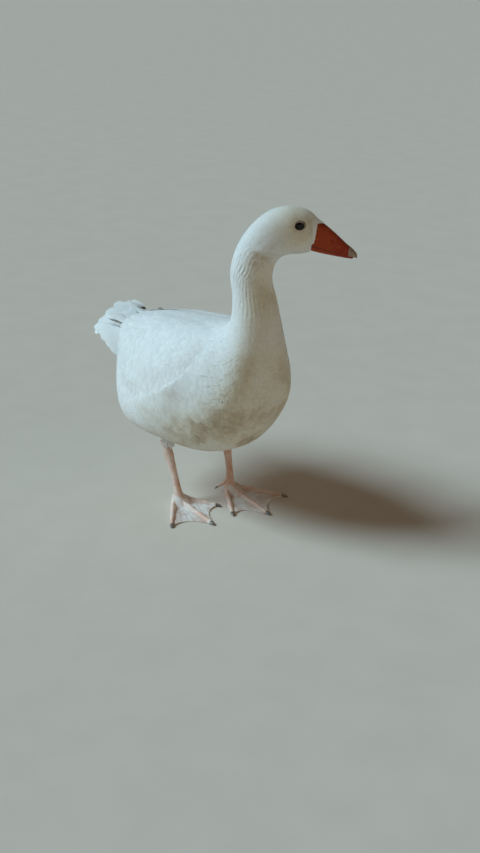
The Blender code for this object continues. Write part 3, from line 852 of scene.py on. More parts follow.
class Nodes:
    """Adds nodes to a tree and joins them, so that a material reads as a list of steps."""

    def __init__(self, tree: Tree) -> None:
        """Keep the tree."""
        self.tree = tree

    def add(self, kind: str, inputs: dict[int | str, object] | None = None,
            **settings: object) -> bpy.types.Node:
        """Add a node.

        Args:
            kind: Node type without its ShaderNode prefix.
            inputs: Values or sockets for its inputs, by name or number.
            **settings: Properties of the node.

        Returns:
            The node.
        """
        node = self.tree.nodes.new("ShaderNode" + kind)
        for name, value in settings.items():
            setattr(node, name, value)
        for name, value in (inputs or {}).items():
            if isinstance(value, Socket):
                self.tree.links.new(value, node.inputs[name])
            else:
                node.inputs[name].default_value = value
        return node

    def math(self, operation: str, *values: object, clamp: bool = False) -> Socket:
        """Add a Math node and return its output."""
        return self.add("Math", dict(enumerate(values)), operation=operation, use_clamp=clamp).outputs[0]

    def mix(self, share: object, one: object, other: object, blend: str = "MIX") -> Socket:
        """Mix two colours by a share and return the result."""
        return self.add("Mix", {0: share, 6: one, 7: other}, data_type="RGBA", blend_type=blend).outputs[2]

    def ramp(self, value: object, low: float, high: float, to_low: float = 0.0,
             to_high: float = 1.0) -> Socket:
        """Map a value's range to another, held at its ends, and return the result."""
        return self.add("MapRange", {0: value, 1: low, 2: high, 3: to_low, 4: to_high},
                        interpolation_type="SMOOTHSTEP").outputs[0]

    def noise(self, scale: float, detail: float = 3.0, rough: float = 0.55) -> Socket:
        """Add noise over the object's own coordinates and return it."""
        return self.add("TexNoise", {"Vector": self.place(), "Scale": scale, "Detail": detail,
                                     "Roughness": rough}).outputs[0]

    def place(self) -> Socket:
        """The place of a point in the object's own coordinates."""
        return self.add("TexCoord").outputs["Object"]

    def split(self, vector: Socket) -> Outputs:
        """The three numbers of a vector."""
        return self.add("SeparateXYZ", {0: vector}).outputs

    def value(self, name: str) -> Socket:
        """A value that the piece holds for each point."""
        return self.add("Attribute", attribute_name=name).outputs["Vector"]

    def map(self, name: str) -> Socket:
        """The place of a point on one of the piece's maps."""
        return self.add("UVMap", uv_map=name).outputs[0]

    def group(self, tree: Tree, **inputs: object) -> Outputs:
        """The outputs of a group."""
        return self.add("Group", inputs, node_tree=tree).outputs


class Group(Nodes):
    """Nodes of a shader node group, with its input sockets."""

    def __init__(self, name: str, inputs: dict[str, tuple[str, object]], outputs: dict[str, str]) -> None:
        """Make an empty group with named sockets.

        Args:
            name: Name of the group.
            inputs: Kind and default of each input socket.
            outputs: Kind of each output socket.
        """
        super().__init__(bpy.data.node_groups.new(name, "ShaderNodeTree"))
        for socket, (kind, value) in inputs.items():
            made = self.tree.interface.new_socket(socket, in_out="INPUT", socket_type="NodeSocket" + kind)
            if value is not None:
                made.default_value = value
        for socket, kind in outputs.items():
            self.tree.interface.new_socket(socket, in_out="OUTPUT", socket_type="NodeSocket" + kind)
        self.given = self.tree.nodes.new("NodeGroupInput").outputs
        self.result = self.tree.nodes.new("NodeGroupOutput").inputs

    def done(self, **results: Socket) -> Tree:
        """Join the results to the group's outputs and return the group's tree."""
        for name, socket in results.items():
            self.tree.links.new(socket, self.result[name])
        return self.tree


def marking_group() -> Tree:
    """Group that colours plumage and skin alike: clean, cream in its zones, soiled in patches; the cream and
    the soil also stand for painted warm shade and shadow.
    """
    white = ("Color", rgb(1, 1, 1))
    nodes = Group("markings", {"Clean": white, "Cream": white, "Soil": white, "Marks": ("Vector", None)},
                  {"Color": "Color"})
    marks = nodes.split(nodes.given["Marks"])
    broad = nodes.noise(17.0, 4.0, 0.6)
    fine = nodes.noise(90.0, 3.0, 0.6)
    cream = nodes.math("MULTIPLY", marks[0], nodes.ramp(broad, 0.25, 0.65, 0.55, 1.0), clamp=True)
    patches = nodes.math("MULTIPLY", nodes.ramp(broad, 0.4, 0.68), nodes.ramp(fine, 0.3, 0.6, 0.4, 1.0))
    # Soil in patches, which also stands for painted shade where the zones put it.
    soil = nodes.math("MULTIPLY", marks[1], patches, clamp=True)
    with_cream_and_painted_shade = nodes.mix(cream, nodes.given["Clean"], nodes.given["Cream"])
    return nodes.done(Color=nodes.mix(soil, with_cream_and_painted_shade, nodes.given["Soil"]))


def barb_group() -> Tree:
    """Group that draws a vane's barbs, fine waves that slant back from its shaft, as a relief and as painted
    shade in the grooves between them.
    """
    nodes = Group("barbs", {"Vane": ("Vector", None), "Barbs": ("Float", 30.0), "Slant": ("Float", 0.8)},
                  {"Height": "Float", "Shade": "Float"})
    parts = nodes.split(nodes.given["Vane"])
    away = nodes.math("ABSOLUTE", nodes.math("SUBTRACT", parts[0], 0.5))
    slanted = nodes.math("SUBTRACT", parts[1], nodes.math("MULTIPLY", away, nodes.given["Slant"]))
    unevenness = nodes.noise(140.0, 2.0)
    phase = nodes.math("ADD", nodes.math("MULTIPLY", slanted, nodes.given["Barbs"]),
                       nodes.math("MULTIPLY", unevenness, 1.6))
    wave = nodes.math("SINE", nodes.math("MULTIPLY", phase, 2 * np.pi))
    height = nodes.math("MULTIPLY_ADD", wave, 0.5, 0.5)
    # Shade is painted shade, a little darker in the grooves between the barbs.
    return nodes.done(Height=height, Shade=nodes.math("MULTIPLY_ADD", height, 0.06, 0.94))


def grain_group() -> Tree:
    """Group of small rounded scales and wrinkles, with grooves between them."""
    nodes = Group("grain", {"Cells": ("Float", 400.0), "Stretch": ("Vector", (1, 1, 1)),
                            "Mottle": ("Float", 60.0)},
                  {"Height": "Float", "Groove": "Float", "Mottle": "Float"})
    where = nodes.add("VectorMath", {0: nodes.place(), 1: nodes.given["Stretch"]},
                      operation="MULTIPLY").outputs[0]
    cells = nodes.add("TexVoronoi", {"Vector": where, "Scale": nodes.given["Cells"],
                                     "Randomness": 0.75}, feature="DISTANCE_TO_EDGE")
    groove = nodes.ramp(cells.outputs[0], 0.0, 0.16, 1.0, 0.0)
    noise = nodes.add("TexNoise", {"Vector": where, "Scale": nodes.given["Mottle"], "Detail": 4.0})
    mottle = noise.outputs[0]
    return nodes.done(Height=nodes.math("SUBTRACT", nodes.math("MULTIPLY", mottle, 0.5), groove),
                      Groove=groove, Mottle=mottle)


@dataclass(frozen=True)
class Finish:
    """A surface's constant values: roughness, specular level, sheen, and light through it."""

    name: str
    roughness: float
    specular: float = 0.5
    sheen: float = 0.0
    coat: float = 0.0
    under: float = 0.0
    under_radius: tuple[float, float, float] = (0.004, 0.002, 0.001)


class Surface(Nodes):
    """Nodes of one material, round its shader."""

    def __init__(self, finish: Finish) -> None:
        """Make the material with its constant values on the shader's own sockets.

        Args:
            finish: The constant values.
        """
        self.material = bpy.data.materials.new(finish.name)
        self.material.use_nodes = True
        super().__init__(self.material.node_tree)
        self.shader = self.tree.nodes["Principled BSDF"].inputs
        constants = {"Roughness": finish.roughness, "Specular IOR Level": finish.specular,
                     "Sheen Weight": finish.sheen, "Sheen Roughness": 0.5,
                     "Coat Weight": finish.coat, "Coat Roughness": 0.04}
        if finish.under:
            constants |= {"Subsurface Weight": finish.under, "Subsurface Radius": finish.under_radius,
                          "Subsurface Scale": 1.0}
        for name, value in constants.items():
            self.shader[name].default_value = value

    def dress(self, colour: Socket, height: Socket | None = None, strength: float = 0.0,
              distance: float = 0.0003) -> Material:
        """Join a colour, and a relief if there is one, to the shader.

        Args:
            colour: Base colour.
            height: Height of the relief, as a share of its distance.
            strength: Strength of the relief.
            distance: Depth of the relief in metres.

        Returns:
            The material.
        """
        self.tree.links.new(colour, self.shader["Base Color"])
        if height is not None:
            relief = self.add("Bump", {"Strength": strength, "Distance": distance, "Height": height})
            self.tree.links.new(relief.outputs[0], self.shader["Normal"])
        return self.material


@dataclass(frozen=True)
class Palette:
    """Makes every material of the bird, from shared groups."""

    clean: Colour = rgb(0.86, 0.87, 0.87)
    # Cream, which the colour zones also use as painted warm shade.
    cream: Colour = rgb(0.8, 0.7, 0.5)
    # Soil, which the colour zones also use as painted shade and shadow.
    soil: Colour = rgb(0.46, 0.34, 0.22)
    bare_skin: Colour = rgb(0.7, 0.64, 0.6)
    bill_root: Colour = rgb(0.37, 0.044, 0.002)
    bill_front: Colour = rgb(0.29, 0.016, 0.004)
    bill_ridge: Colour = rgb(0.13, 0.022, 0.01)
    bill_edge: Colour = rgb(0.07, 0.018, 0.012)
    bill_mottle: Colour = rgb(0.44, 0.095, 0.016)
    flesh: tuple[Colour, Colour] = (rgb(0.7, 0.33, 0.2), rgb(0.83, 0.56, 0.43))
    web: tuple[Colour, Colour] = (rgb(0.64, 0.45, 0.38), rgb(0.77, 0.67, 0.62))
    dust: Colour = rgb(0.84, 0.8, 0.77)
    groove: Colour = rgb(0.24, 0.12, 0.08)
    scutes: float = 420.0       # a metre of shank
    pupil: Colour = rgb(0.003, 0.003, 0.003)
    iris: tuple[Colour, Colour] = (rgb(0.016, 0.006, 0.004), rgb(0.04, 0.015, 0.008))
    iris_rim: Colour = rgb(0.01, 0.006, 0.005)
    iris_rays: int = 46
    lids: tuple[Colour, Colour] = (rgb(0.17, 0.1, 0.075), rgb(0.29, 0.195, 0.155))
    lid_edge: Colour = rgb(0.03, 0.014, 0.011)

    def build(self) -> dict[str, Material]:
        """Make the groups and the materials.

        Returns:
            The materials by name.
        """
        marking, barbs, grain = marking_group(), barb_group(), grain_group()
        return {
            "plumage": self.plumage(marking, barbs),
            "skin": self.skin(marking),
            "bill": self.bill(grain),
            "nail": self.horn(grain, "nail", rgb(0.36, 0.25, 0.17), rgb(0.2, 0.115, 0.075)),
            "claw": self.horn(grain, "claw", rgb(0.3, 0.25, 0.22), rgb(0.12, 0.1, 0.09)),
            "leg": self.leg(grain),
            "eye": self.eye(),
            "lid": self.lid(grain),
        }

    def marked(self, nodes: Nodes, marking: Tree) -> Socket:
        """Colour by the marking group, which reads the piece's own marks."""
        return nodes.group(marking, Clean=self.clean, Cream=self.cream, Soil=self.soil,
                           Marks=nodes.value("marks"))["Color"]

    def plumage(self, marking: Tree, barbs: Tree) -> Material:
        """White feathers, each a little different, with barbs and a soft sheen, and painted shade towards
        each vane's root and between its barbs.
        """
        nodes = Surface(Finish("plumage", 0.72, 0.25, sheen=0.25))
        marked = self.marked(nodes, marking)
        tone = nodes.split(nodes.value("tone"))
        barb = nodes.group(barbs, Vane=nodes.map("vane"))
        # Random tone of each vane, times the barbs' painted shade.
        shade = nodes.math("MULTIPLY", nodes.ramp(tone[0], 0.0, 1.0, 0.965, 1.0), barb["Shade"])
        # Painted shade: each vane darkens towards its root, where the vane ahead lies over it.
        shade = nodes.math("MULTIPLY", shade, nodes.ramp(tone[2], 0.55, 0.98, 0.9, 1.0))
        colour = nodes.mix(nodes.ramp(tone[1], 0.5, 1.0, 0.0, 0.07), marked, self.cream)
        grey = nodes.add("CombineColor", {0: shade, 1: shade, 2: shade}).outputs[0]
        return nodes.dress(nodes.mix(1.0, colour, grey, "MULTIPLY"), barb["Height"], 0.35, 0.0002)

    def skin(self, marking: Tree) -> Material:
        """Downy skin under the coat, with the coat's cream and soil, which also paint warm shade and shadow.
        """
        nodes = Surface(Finish("skin", 0.85, 0.2, sheen=0.2))
        marked = self.marked(nodes, marking)
        down = nodes.noise(900.0, 3.0, 0.7)
        colour = nodes.mix(nodes.ramp(down, 0.3, 0.7, 0.0, 0.25), marked, self.bare_skin)
        return nodes.dress(colour, down, 0.6, 0.0006)

    def bill(self, grain: Tree) -> Material:
        """Deep orange horn, redder ahead and along the ridge, with faint wrinkles."""
        nodes = Surface(Finish("bill", 0.42, 0.28, under=0.08))
        skin = nodes.group(grain, Cells=700.0, Mottle=140.0)
        place = nodes.split(nodes.map("bill"))
        wear = nodes.noise(55.0, 4.0, 0.6)
        ahead = nodes.math("ADD", place[0], nodes.math("MULTIPLY_ADD", wear, 0.5, -0.25))
        colour = nodes.mix(nodes.ramp(ahead, 0.05, 0.75), self.bill_root, self.bill_front)
        high = nodes.math("ADD", place[1], nodes.math("MULTIPLY_ADD", wear, 0.3, -0.15))
        colour = nodes.mix(nodes.ramp(high, 0.72, 1.0, 0.0, 0.45), colour, self.bill_ridge)
        colour = nodes.mix(nodes.ramp(place[1], 0.0, 0.1, 0.65, 0.0), colour, self.bill_edge)
        colour = nodes.mix(nodes.ramp(skin["Mottle"], 0.45, 0.75, 0.0, 0.35), colour, self.bill_mottle)
        rough = nodes.ramp(skin["Mottle"], 0.3, 0.7, 0.3, 0.5)
        nodes.tree.links.new(rough, nodes.shader["Roughness"])
        return nodes.dress(colour, skin["Height"], 0.25)

    def horn(self, grain: Tree, name: str, light: Colour, dark: Colour) -> Material:
        """Horn of the nail and the claws, streaked along its growth.

        Args:
            grain: The grain group.
            name: Name of the material.
            light: Colour of the horn.
            dark: Colour of its streaks.

        Returns:
            The material.
        """
        nodes = Surface(Finish(name, 0.35, 0.5, coat=0.15))
        streaks = nodes.group(grain, Cells=260.0, Mottle=230.0, Stretch=(1.0, 1.0, 0.35))["Mottle"]
        return nodes.dress(nodes.mix(nodes.ramp(streaks, 0.35, 0.7), dark, light), streaks, 0.2)

    def leg(self, grain: Tree) -> Material:
        """Scaly orange-pink skin of legs and webs, dusty and grey on the webs."""
        nodes = Surface(Finish("leg", 0.55, 0.4, under=0.15))
        scales = nodes.group(grain, Cells=560.0, Mottle=70.0)
        web_share, dusty, along = nodes.split(nodes.value("kind"))
        wear = nodes.noise(38.0, 4.0, 0.6)
        flesh = nodes.mix(nodes.ramp(scales["Mottle"], 0.35, 0.7), *self.flesh)
        web = nodes.mix(nodes.ramp(wear, 0.38, 0.62), *self.web)
        colour = nodes.mix(web_share, flesh, web)
        dust = nodes.math("MULTIPLY", dusty, nodes.ramp(wear, 0.35, 0.65, 0.3, 1.0), clamp=True)
        colour = nodes.mix(dust, colour, self.dust)
        colour = nodes.mix(nodes.math("MULTIPLY", scales["Groove"], 0.22), colour, self.groove)
        bands = nodes.math("SINE", nodes.math("MULTIPLY", along, 2 * np.pi * self.scutes))
        bands = nodes.math("MULTIPLY", bands, nodes.math("SUBTRACT", 1.0, web_share))
        height = nodes.math("ADD", scales["Height"], nodes.math("MULTIPLY", bands, 0.5))
        return nodes.dress(colour, height, 0.4, 0.0004)

    def eye(self) -> Material:
        """Wet eye: black pupil, dark brown iris with fine rays, darker at its rim."""
        nodes = Surface(Finish("eye", 0.07, 0.25, coat=0.15))
        place = nodes.split(nodes.map("ring"))
        rays = nodes.math("SINE", nodes.math("MULTIPLY", place[0], 2 * np.pi * self.iris_rays))
        iris = nodes.mix(nodes.math("MULTIPLY_ADD", rays, 0.5, 0.5), *self.iris)
        colour = nodes.mix(nodes.ramp(place[1], 0.2, 0.24), self.pupil, iris)
        return nodes.dress(nodes.mix(nodes.ramp(place[1], 0.36, 0.44), colour, self.iris_rim))

    def lid(self, grain: Tree) -> Material:
        """Bare skin of the eyelids, wrinkled round the eye."""
        nodes = Surface(Finish("lid", 0.5, 0.4, under=0.1))
        skin = nodes.group(grain, Cells=1100.0, Mottle=260.0)
        colour = nodes.mix(nodes.ramp(skin["Mottle"], 0.35, 0.7), *self.lids)
        colour = nodes.mix(nodes.split(nodes.value("marks"))[2], colour, self.lid_edge)
        return nodes.dress(colour, skin["Height"], 0.5)


# ---- shared workshop


@dataclass
class Workshop:
    """What every sub-assembly needs: the frame's place, the materials and the body's sheets."""

    shift: Array
    materials: dict[str, Material]
    coat: Sheet

    @classmethod
    def open(cls) -> "Workshop":
        """Find the frame's place from the eyes, make the materials and work out the outline.

        Returns:
            The workshop.
        """
        shift = np.zeros(3)
        for side in Side:
            low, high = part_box(f"eye_{side.word}")
            shift += 0.5 * (0.5 * (np.array(low) + np.array(high)) - EyeSite(side).centre)
        stations = np.linspace(FIRST, LAST + 1, 1201)
        coat = Sheet(coat_surface, stations, np.linspace(-np.pi, np.pi, 481), around=True)
        return cls(shift, Palette().build(), coat)

    def finish(self, shape: Shape, name: str, materials: tuple[str, ...] = ("plumage",),
               nodes: tuple[str, ...] = (), record_slot: str = "plumage") -> None:
        """Move a shape into the frame and make its piece, which rides on the bird's one body.

        Args:
            shape: The shape gathered.
            name: Name of the piece.
            materials: Names of its materials.
            nodes: Solids that it replaces.
            record_slot: Not used.
        """
        mesh = shape.mesh(name, self.shift)
        for one in materials:
            mesh.materials.append(self.materials[one])
        obj = placed(name, mesh)
        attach(obj, "root")
        if nodes:
            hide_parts(*nodes)
        LOG.info("%s: %d faces", name, len(mesh.polygons))


@dataclass
class Assembly:
    """A sub-assembly, with the workshop that it is built in and the shape that it gathers."""

    shop: Workshop
    shape: Shape = field(default_factory=Shape, init=False)


@dataclass(frozen=True)
class EyeSite:
    """Where one eyeball sits in the turned head."""

    side: Side
    ahead: float = 0.2155
    aside: float = 0.0188
    above: float = 0.5405
    opening: float = 0.0067

    @property
    def centre(self) -> Array:
        """Centre of the eyeball."""
        return turned(self.ahead, self.side.value * self.aside, self.above, HEAD_TURN)

    @property
    def axis(self) -> Array:
        """Direction that the eye looks in."""
        return turned(self.ahead, self.side.value * (self.aside + 1), self.above, HEAD_TURN) - self.centre

    def away(self, points: Array) -> tuple[Array, Array, Array]:
        """Split points into height along the axis, distance from it and direction from it.

        Args:
            points: Points of the head.

        Returns:
            Heights, distances and unit directions.
        """
        rest = points - self.centre
        height = rest @ self.axis
        radial = rest - height[..., None] * self.axis
        distance = np.linalg.norm(radial, axis=-1)
        return height, distance, radial / np.maximum(distance, 1e-9)[..., None]

    def ring(self, height: Array, reach: Array, angle: Array) -> Array:
        """Points round the axis.

        Args:
            height: Heights along the axis.
            reach: Distances from it.
            angle: Angles round it, from ahead and upwards.

        Returns:
            The points.
        """
        ahead = turned(1.0, 0.0, 0.0, HEAD_TURN) - turned(0.0, 0.0, 0.0, HEAD_TURN)
        return (self.centre + height[..., None] * self.axis
                + (reach * np.cos(angle))[..., None] * ahead + (reach * np.sin(angle))[..., None] * UP)


def clear_eyes(points: Array) -> Array:
    """Draw feathers back from both eyes.

    A distance r from an eye's axis that is under twice the opening R becomes the square root of
    R^2 + 0.75 r^2, so that the vanes part round the eye and crowd together at its edge.
    """
    for side in Side:
        site = EyeSite(side)
        height, distance, way = site.away(points)
        parted = np.maximum(np.sqrt(site.opening**2 + 0.75 * distance**2), distance)
        points = points + way * ((parted - distance) * (height > -0.008))[..., None]
    return points


# ---- skin


@dataclass(frozen=True)
class Limb:
    """Key points of one leg, in metres over the bird's own floor."""

    side: Side
    ankle: tuple[float, float, float]
    hock: tuple[float, float, float]
    thigh: tuple[float, float]
    toes: tuple[tuple[float, float], ...]
    hind: tuple[float, float, float]


LIMBS = (
    Limb(Side.LEFT, (0.007, 0.054, 0.0), (-0.007, 0.056, 0.09), (0.005, 0.06),
         ((0.097, 0.12), (0.137, 0.047), (0.1, -0.008)), (-0.005, 0.027, 0.006)),
    Limb(Side.RIGHT, (-0.008, -0.052, 0.0), (-0.033, -0.055, 0.088), (-0.025, -0.06),
         ((0.072, -0.122), (0.109, -0.056), (0.056, -0.002)), (-0.03, -0.03, 0.006)),
)


def thigh_surface(limb: Limb, grow: float) -> Places:
    """Surface of the feathered end of a thigh.

    Rings stand round a straight line from inside the belly down past the hock, and their radius
    falls from 17 to 8 mm as the 0.7 power of the way down.

    Args:
        limb: The leg.
        grow: How far the surface stands outside the flesh.

    Returns:
        A function of the way down, from 0 to 1, and an angle.
    """
    top = np.array([limb.thigh[0] + 0.004, limb.thigh[1], 0.15])
    end = np.array(limb.hock) + (0.001, 0.0, 0.021)

    def surface(down: Array, angle: Array) -> Array:
        """Point of the thigh."""
        down, angle = np.broadcast_arrays(down, angle)
        radius = 0.017 - 0.0092 * down**0.7 + grow * (1 - 0.6 * down)
        centre = top + down[..., None] * (end - top)
        ring = stacked(1.15 * np.cos(angle), limb.side.value * np.sin(angle), 0 * angle)
        return centre + radius[..., None] * ring

    return surface


@dataclass
class Skin(Assembly):
    """The one skin of the head, neck, trunk, wings, thighs and tail root, with its eyelids."""

    rings: int = 330
    around: int = 150
    lid_profile: tuple[tuple[float, float], ...] = (
        (0.01, 0.001), (0.0096, 0.0034), (0.0087, 0.0048), (0.0078, 0.0058), (0.0071, 0.0062),
        (0.0065, 0.0061), (0.0061, 0.0056), (0.0059, 0.0046), (0.006, 0.002))

    def build(self) -> None:
        """Make the skin."""
        self.add_body()
        for limb in LIMBS:
            self.add_thigh(limb)
        for side in Side:
            self.add_lids(side)
        nodes = ["head", "neck_lower", "neck_upper", "trunk", "tail"]
        nodes += [f"{kind}_{side.word}" for side in Side for kind in ("thigh", "wing", "wing_tip")]
        self.shop.finish(self.shape, "skin", ("skin", "lid"), nodes)

    def add_body(self) -> None:
        """Add the body: the coat's outline moved in by the coat's depth, dented round the eyes."""
        at = np.linspace(FIRST + 0.15, LAST - 0.02, self.rings)[:, None]
        at, angle = np.broadcast_arrays(at, ring(self.around, -np.pi)[None])
        surface = outline(at, angle, raised=False)
        depth = coat_depth(at) + 0 * angle
        for side in Side:
            height, distance, _ = EyeSite(side).away(surface)
            depth = depth + 0.0045 * ease((0.0105 - distance) / 0.003) * (height > 0)
        inward = self.shop.coat.read(at, angle, slice(3, 6))
        self.shape.add_loft(surface - inward * depth[..., None], OFBake=body_unwrap(at, angle),
                            marks=zone_marks(at, angle))

    def add_thigh(self, limb: Limb) -> None:
        """Add the flesh of one thigh down to the hock."""
        down = np.linspace(0, 1, 24)[:, None]
        angle = ring(28)[None]
        self.shape.add_loft(thigh_surface(limb, 0.0)(down, angle), marks=thigh_marks(down, angle),
                            OFBake=stacked(0.1 + 0.8 * angle / (2 * np.pi), 0.02 + 0.05 * down))

    def add_lids(self, side: Side) -> None:
        """Add the lids of one eye, a profile carried round the eye's axis.

        The profile's distance from the axis grows by a tenth along the bird and is pinched a
        little above and below, and fine folds ripple it.

        Args:
            side: Side of the eye.
        """
        steps, turns = 33, 72
        profile = smooth_table(np.array(self.lid_profile), np.linspace(0, 8, steps))
        angle = ring(turns)[:, None]
        fold = 1 + 0.012 * np.sin(18 * angle) * np.sin(np.linspace(0, 3 * np.pi, steps))
        reach = profile[:, 0] * ((1 + 0.1 * np.cos(2 * angle)) * fold)
        height = profile[:, 1] + 0 * angle + 0.0003 * np.sin(angle) ** 2
        last = np.arange(steps)
        final = (turns - 1) * steps
        join = stacked(final + last[:-1], final + last[1:], last[1:], last[:-1])
        ends = np.arange(turns) * steps
        after = np.roll(ends, -1)
        close = stacked(ends + steps - 1, ends, after, after + steps - 1)
        place = stacked(0.5 + 0.003 * np.cos(angle) + 0 * profile[:, 0],
                                             0.9 + 0.003 * np.sin(angle))
        edge = ease((0.0069 - profile[:, 0]) / 0.0009) + 0 * angle
        self.shape.add(EyeSite(side).ring(height, reach, angle), [grid_faces(turns, steps), join, close],
                       slot=1, OFBake=place, marks=stacked(0.0, 0.0, edge))


# ---- plumage


@dataclass
class Coat(Assembly):
    """A coat of small feathers, laid along the tracts of the skin."""

    def lay(self, plan: Plan, parts: dict[str, Array], seed: int, **more: Callable[..., Array]) -> None:
        """Lay a plan's feathers and make one piece for each part of it.

        Args:
            plan: The feathers' plan.
            parts: Which feathers each piece has, by the piece's name.
            seed: Seed of the first piece's random draws.
            **more: Other arguments of add_vanes.
        """
        for number, (name, part) in enumerate(parts.items()):
            shape = Shape()
            add_vanes(shape, plan.kept(part), self.vane, self.ruffle, seed + number, **more)
            self.shop.finish(shape, name)


@dataclass
class BodyCoat(Coat):
    """Contour feathers of breast, back, flanks, belly and tail root."""

    lines: int = 76
    pitch: Table = ((-2, 3, 6, 8, 10, 11), (.0105, .0105, .01, .0088, .0062, .005))
    length: Table = ((-2, 0, 3, 6, 8, 10, 11), (.038, .036, .031, .029, .026, .0185, .015))
    vane: Vane = Vane(rows=(0.0, 0.34, 0.62, 0.84, 1.0), strips=8, lag=0.24, camber=0.016, fray=0.05,
                      crisp=0.45)
    ruffle: Ruffle = Ruffle(size=0.12, yaw=0.09, lift=0.00025)

    def build(self) -> None:
        """Lay the feathers for the front, the sides and the rear, but not under the wings."""
        coat = self.shop.coat
        row, column, ahead, apart = lattice(coat, FIRST + 0.5, 10.9, ring(self.lines, -np.pi), self.pitch,
                                            seed=11, stray=0.32)
        side = np.degrees(np.abs(column))
        upper, lower = wing_span(row)
        open_air = ~((row > 0.9) & (row < 6.7) & (side > upper + 9) & (side < lower - 9))
        plan = Plan.laid(coat, row, column, ahead, self.ruffle.yaws(len(row), 12),
                         np.interp(row, *self.length), 1.9 * np.clip(apart, 0.0035, None),
                         0.16 * coat_depth(row), 0.00005)
        self.lay(plan, {"coat_breast": open_air & (row > 7.6),
                        "coat_left": open_air & (row <= 7.6) & (column > 0),
                        "coat_right": open_air & (row <= 7.6) & (column <= 0)}, 20)


@dataclass
class NeckCoat(Coat):
    """Short feathers of neck and head, drawn into furrows on the neck and fine on the face."""

    lines: int = 128
    pitch: Table = ((10, 11, 13, 16, 17.5, 19, 21), (.0052, .005, .0045, .004, .0028, .0022, .0017))
    length: Table = ((10, 11, 13, 16, 17.5, 19, 20, 21),
                     (.018, .0165, .0145, .012, .0082, .0062, .0052, .0038))
    vane: Vane = Vane(rows=(0.0, 0.42, 0.76, 1.0), strips=4, tip=0.55, lag=0.22, camber=0.022, fray=0.08,
                      tuck=0.00018, crisp=0.42)
    ruffle: Ruffle = Ruffle(size=0.14, yaw=0.08, lift=0.00012)

    def build(self) -> None:
        """Lay the feathers for the neck's front, its back and the head, shorter round the eyes."""
        coat = self.shop.coat
        lines = ring(self.lines, -np.pi)
        point = 0.8 * held(1 - np.abs(np.degrees(lines)) / 36) ** 0.8
        row, column, ahead, apart = lattice(coat, 10.2, LAST + point, lines, self.pitch, seed=31)
        away = [EyeSite(side).away(coat.read(row, column, slice(0, 3))) for side in Side]
        near = np.minimum(*(np.where(height > -0.008, distance, 1.0) for height, distance, _ in away))
        furrowed = window(row, 10.4, 1.6, 17.0, 1.6)
        yaw = self.ruffle.yaws(len(row), 32) + 0.14 * furrowed * np.sin(furrow_phase(row, column))
        plan = Plan.laid(coat, row, column, ahead, yaw,
                         np.interp(row, *self.length) * np.interp(near, [0.004, 0.012], [0.5, 1.0]),
                         np.clip(2.5 * apart, 0.0018, None), 0.13 * coat_depth(row), 0.00003)
        clear = near > 0.0035
        self.lay(plan, {"coat_neck_front": clear & (row <= 16.2) & (np.abs(column) > 1.7),
                        "coat_neck_back": clear & (row <= 16.2) & (np.abs(column) <= 1.7),
                        "coat_head": clear & (row > 16.2)}, 40, warp=clear_eyes)


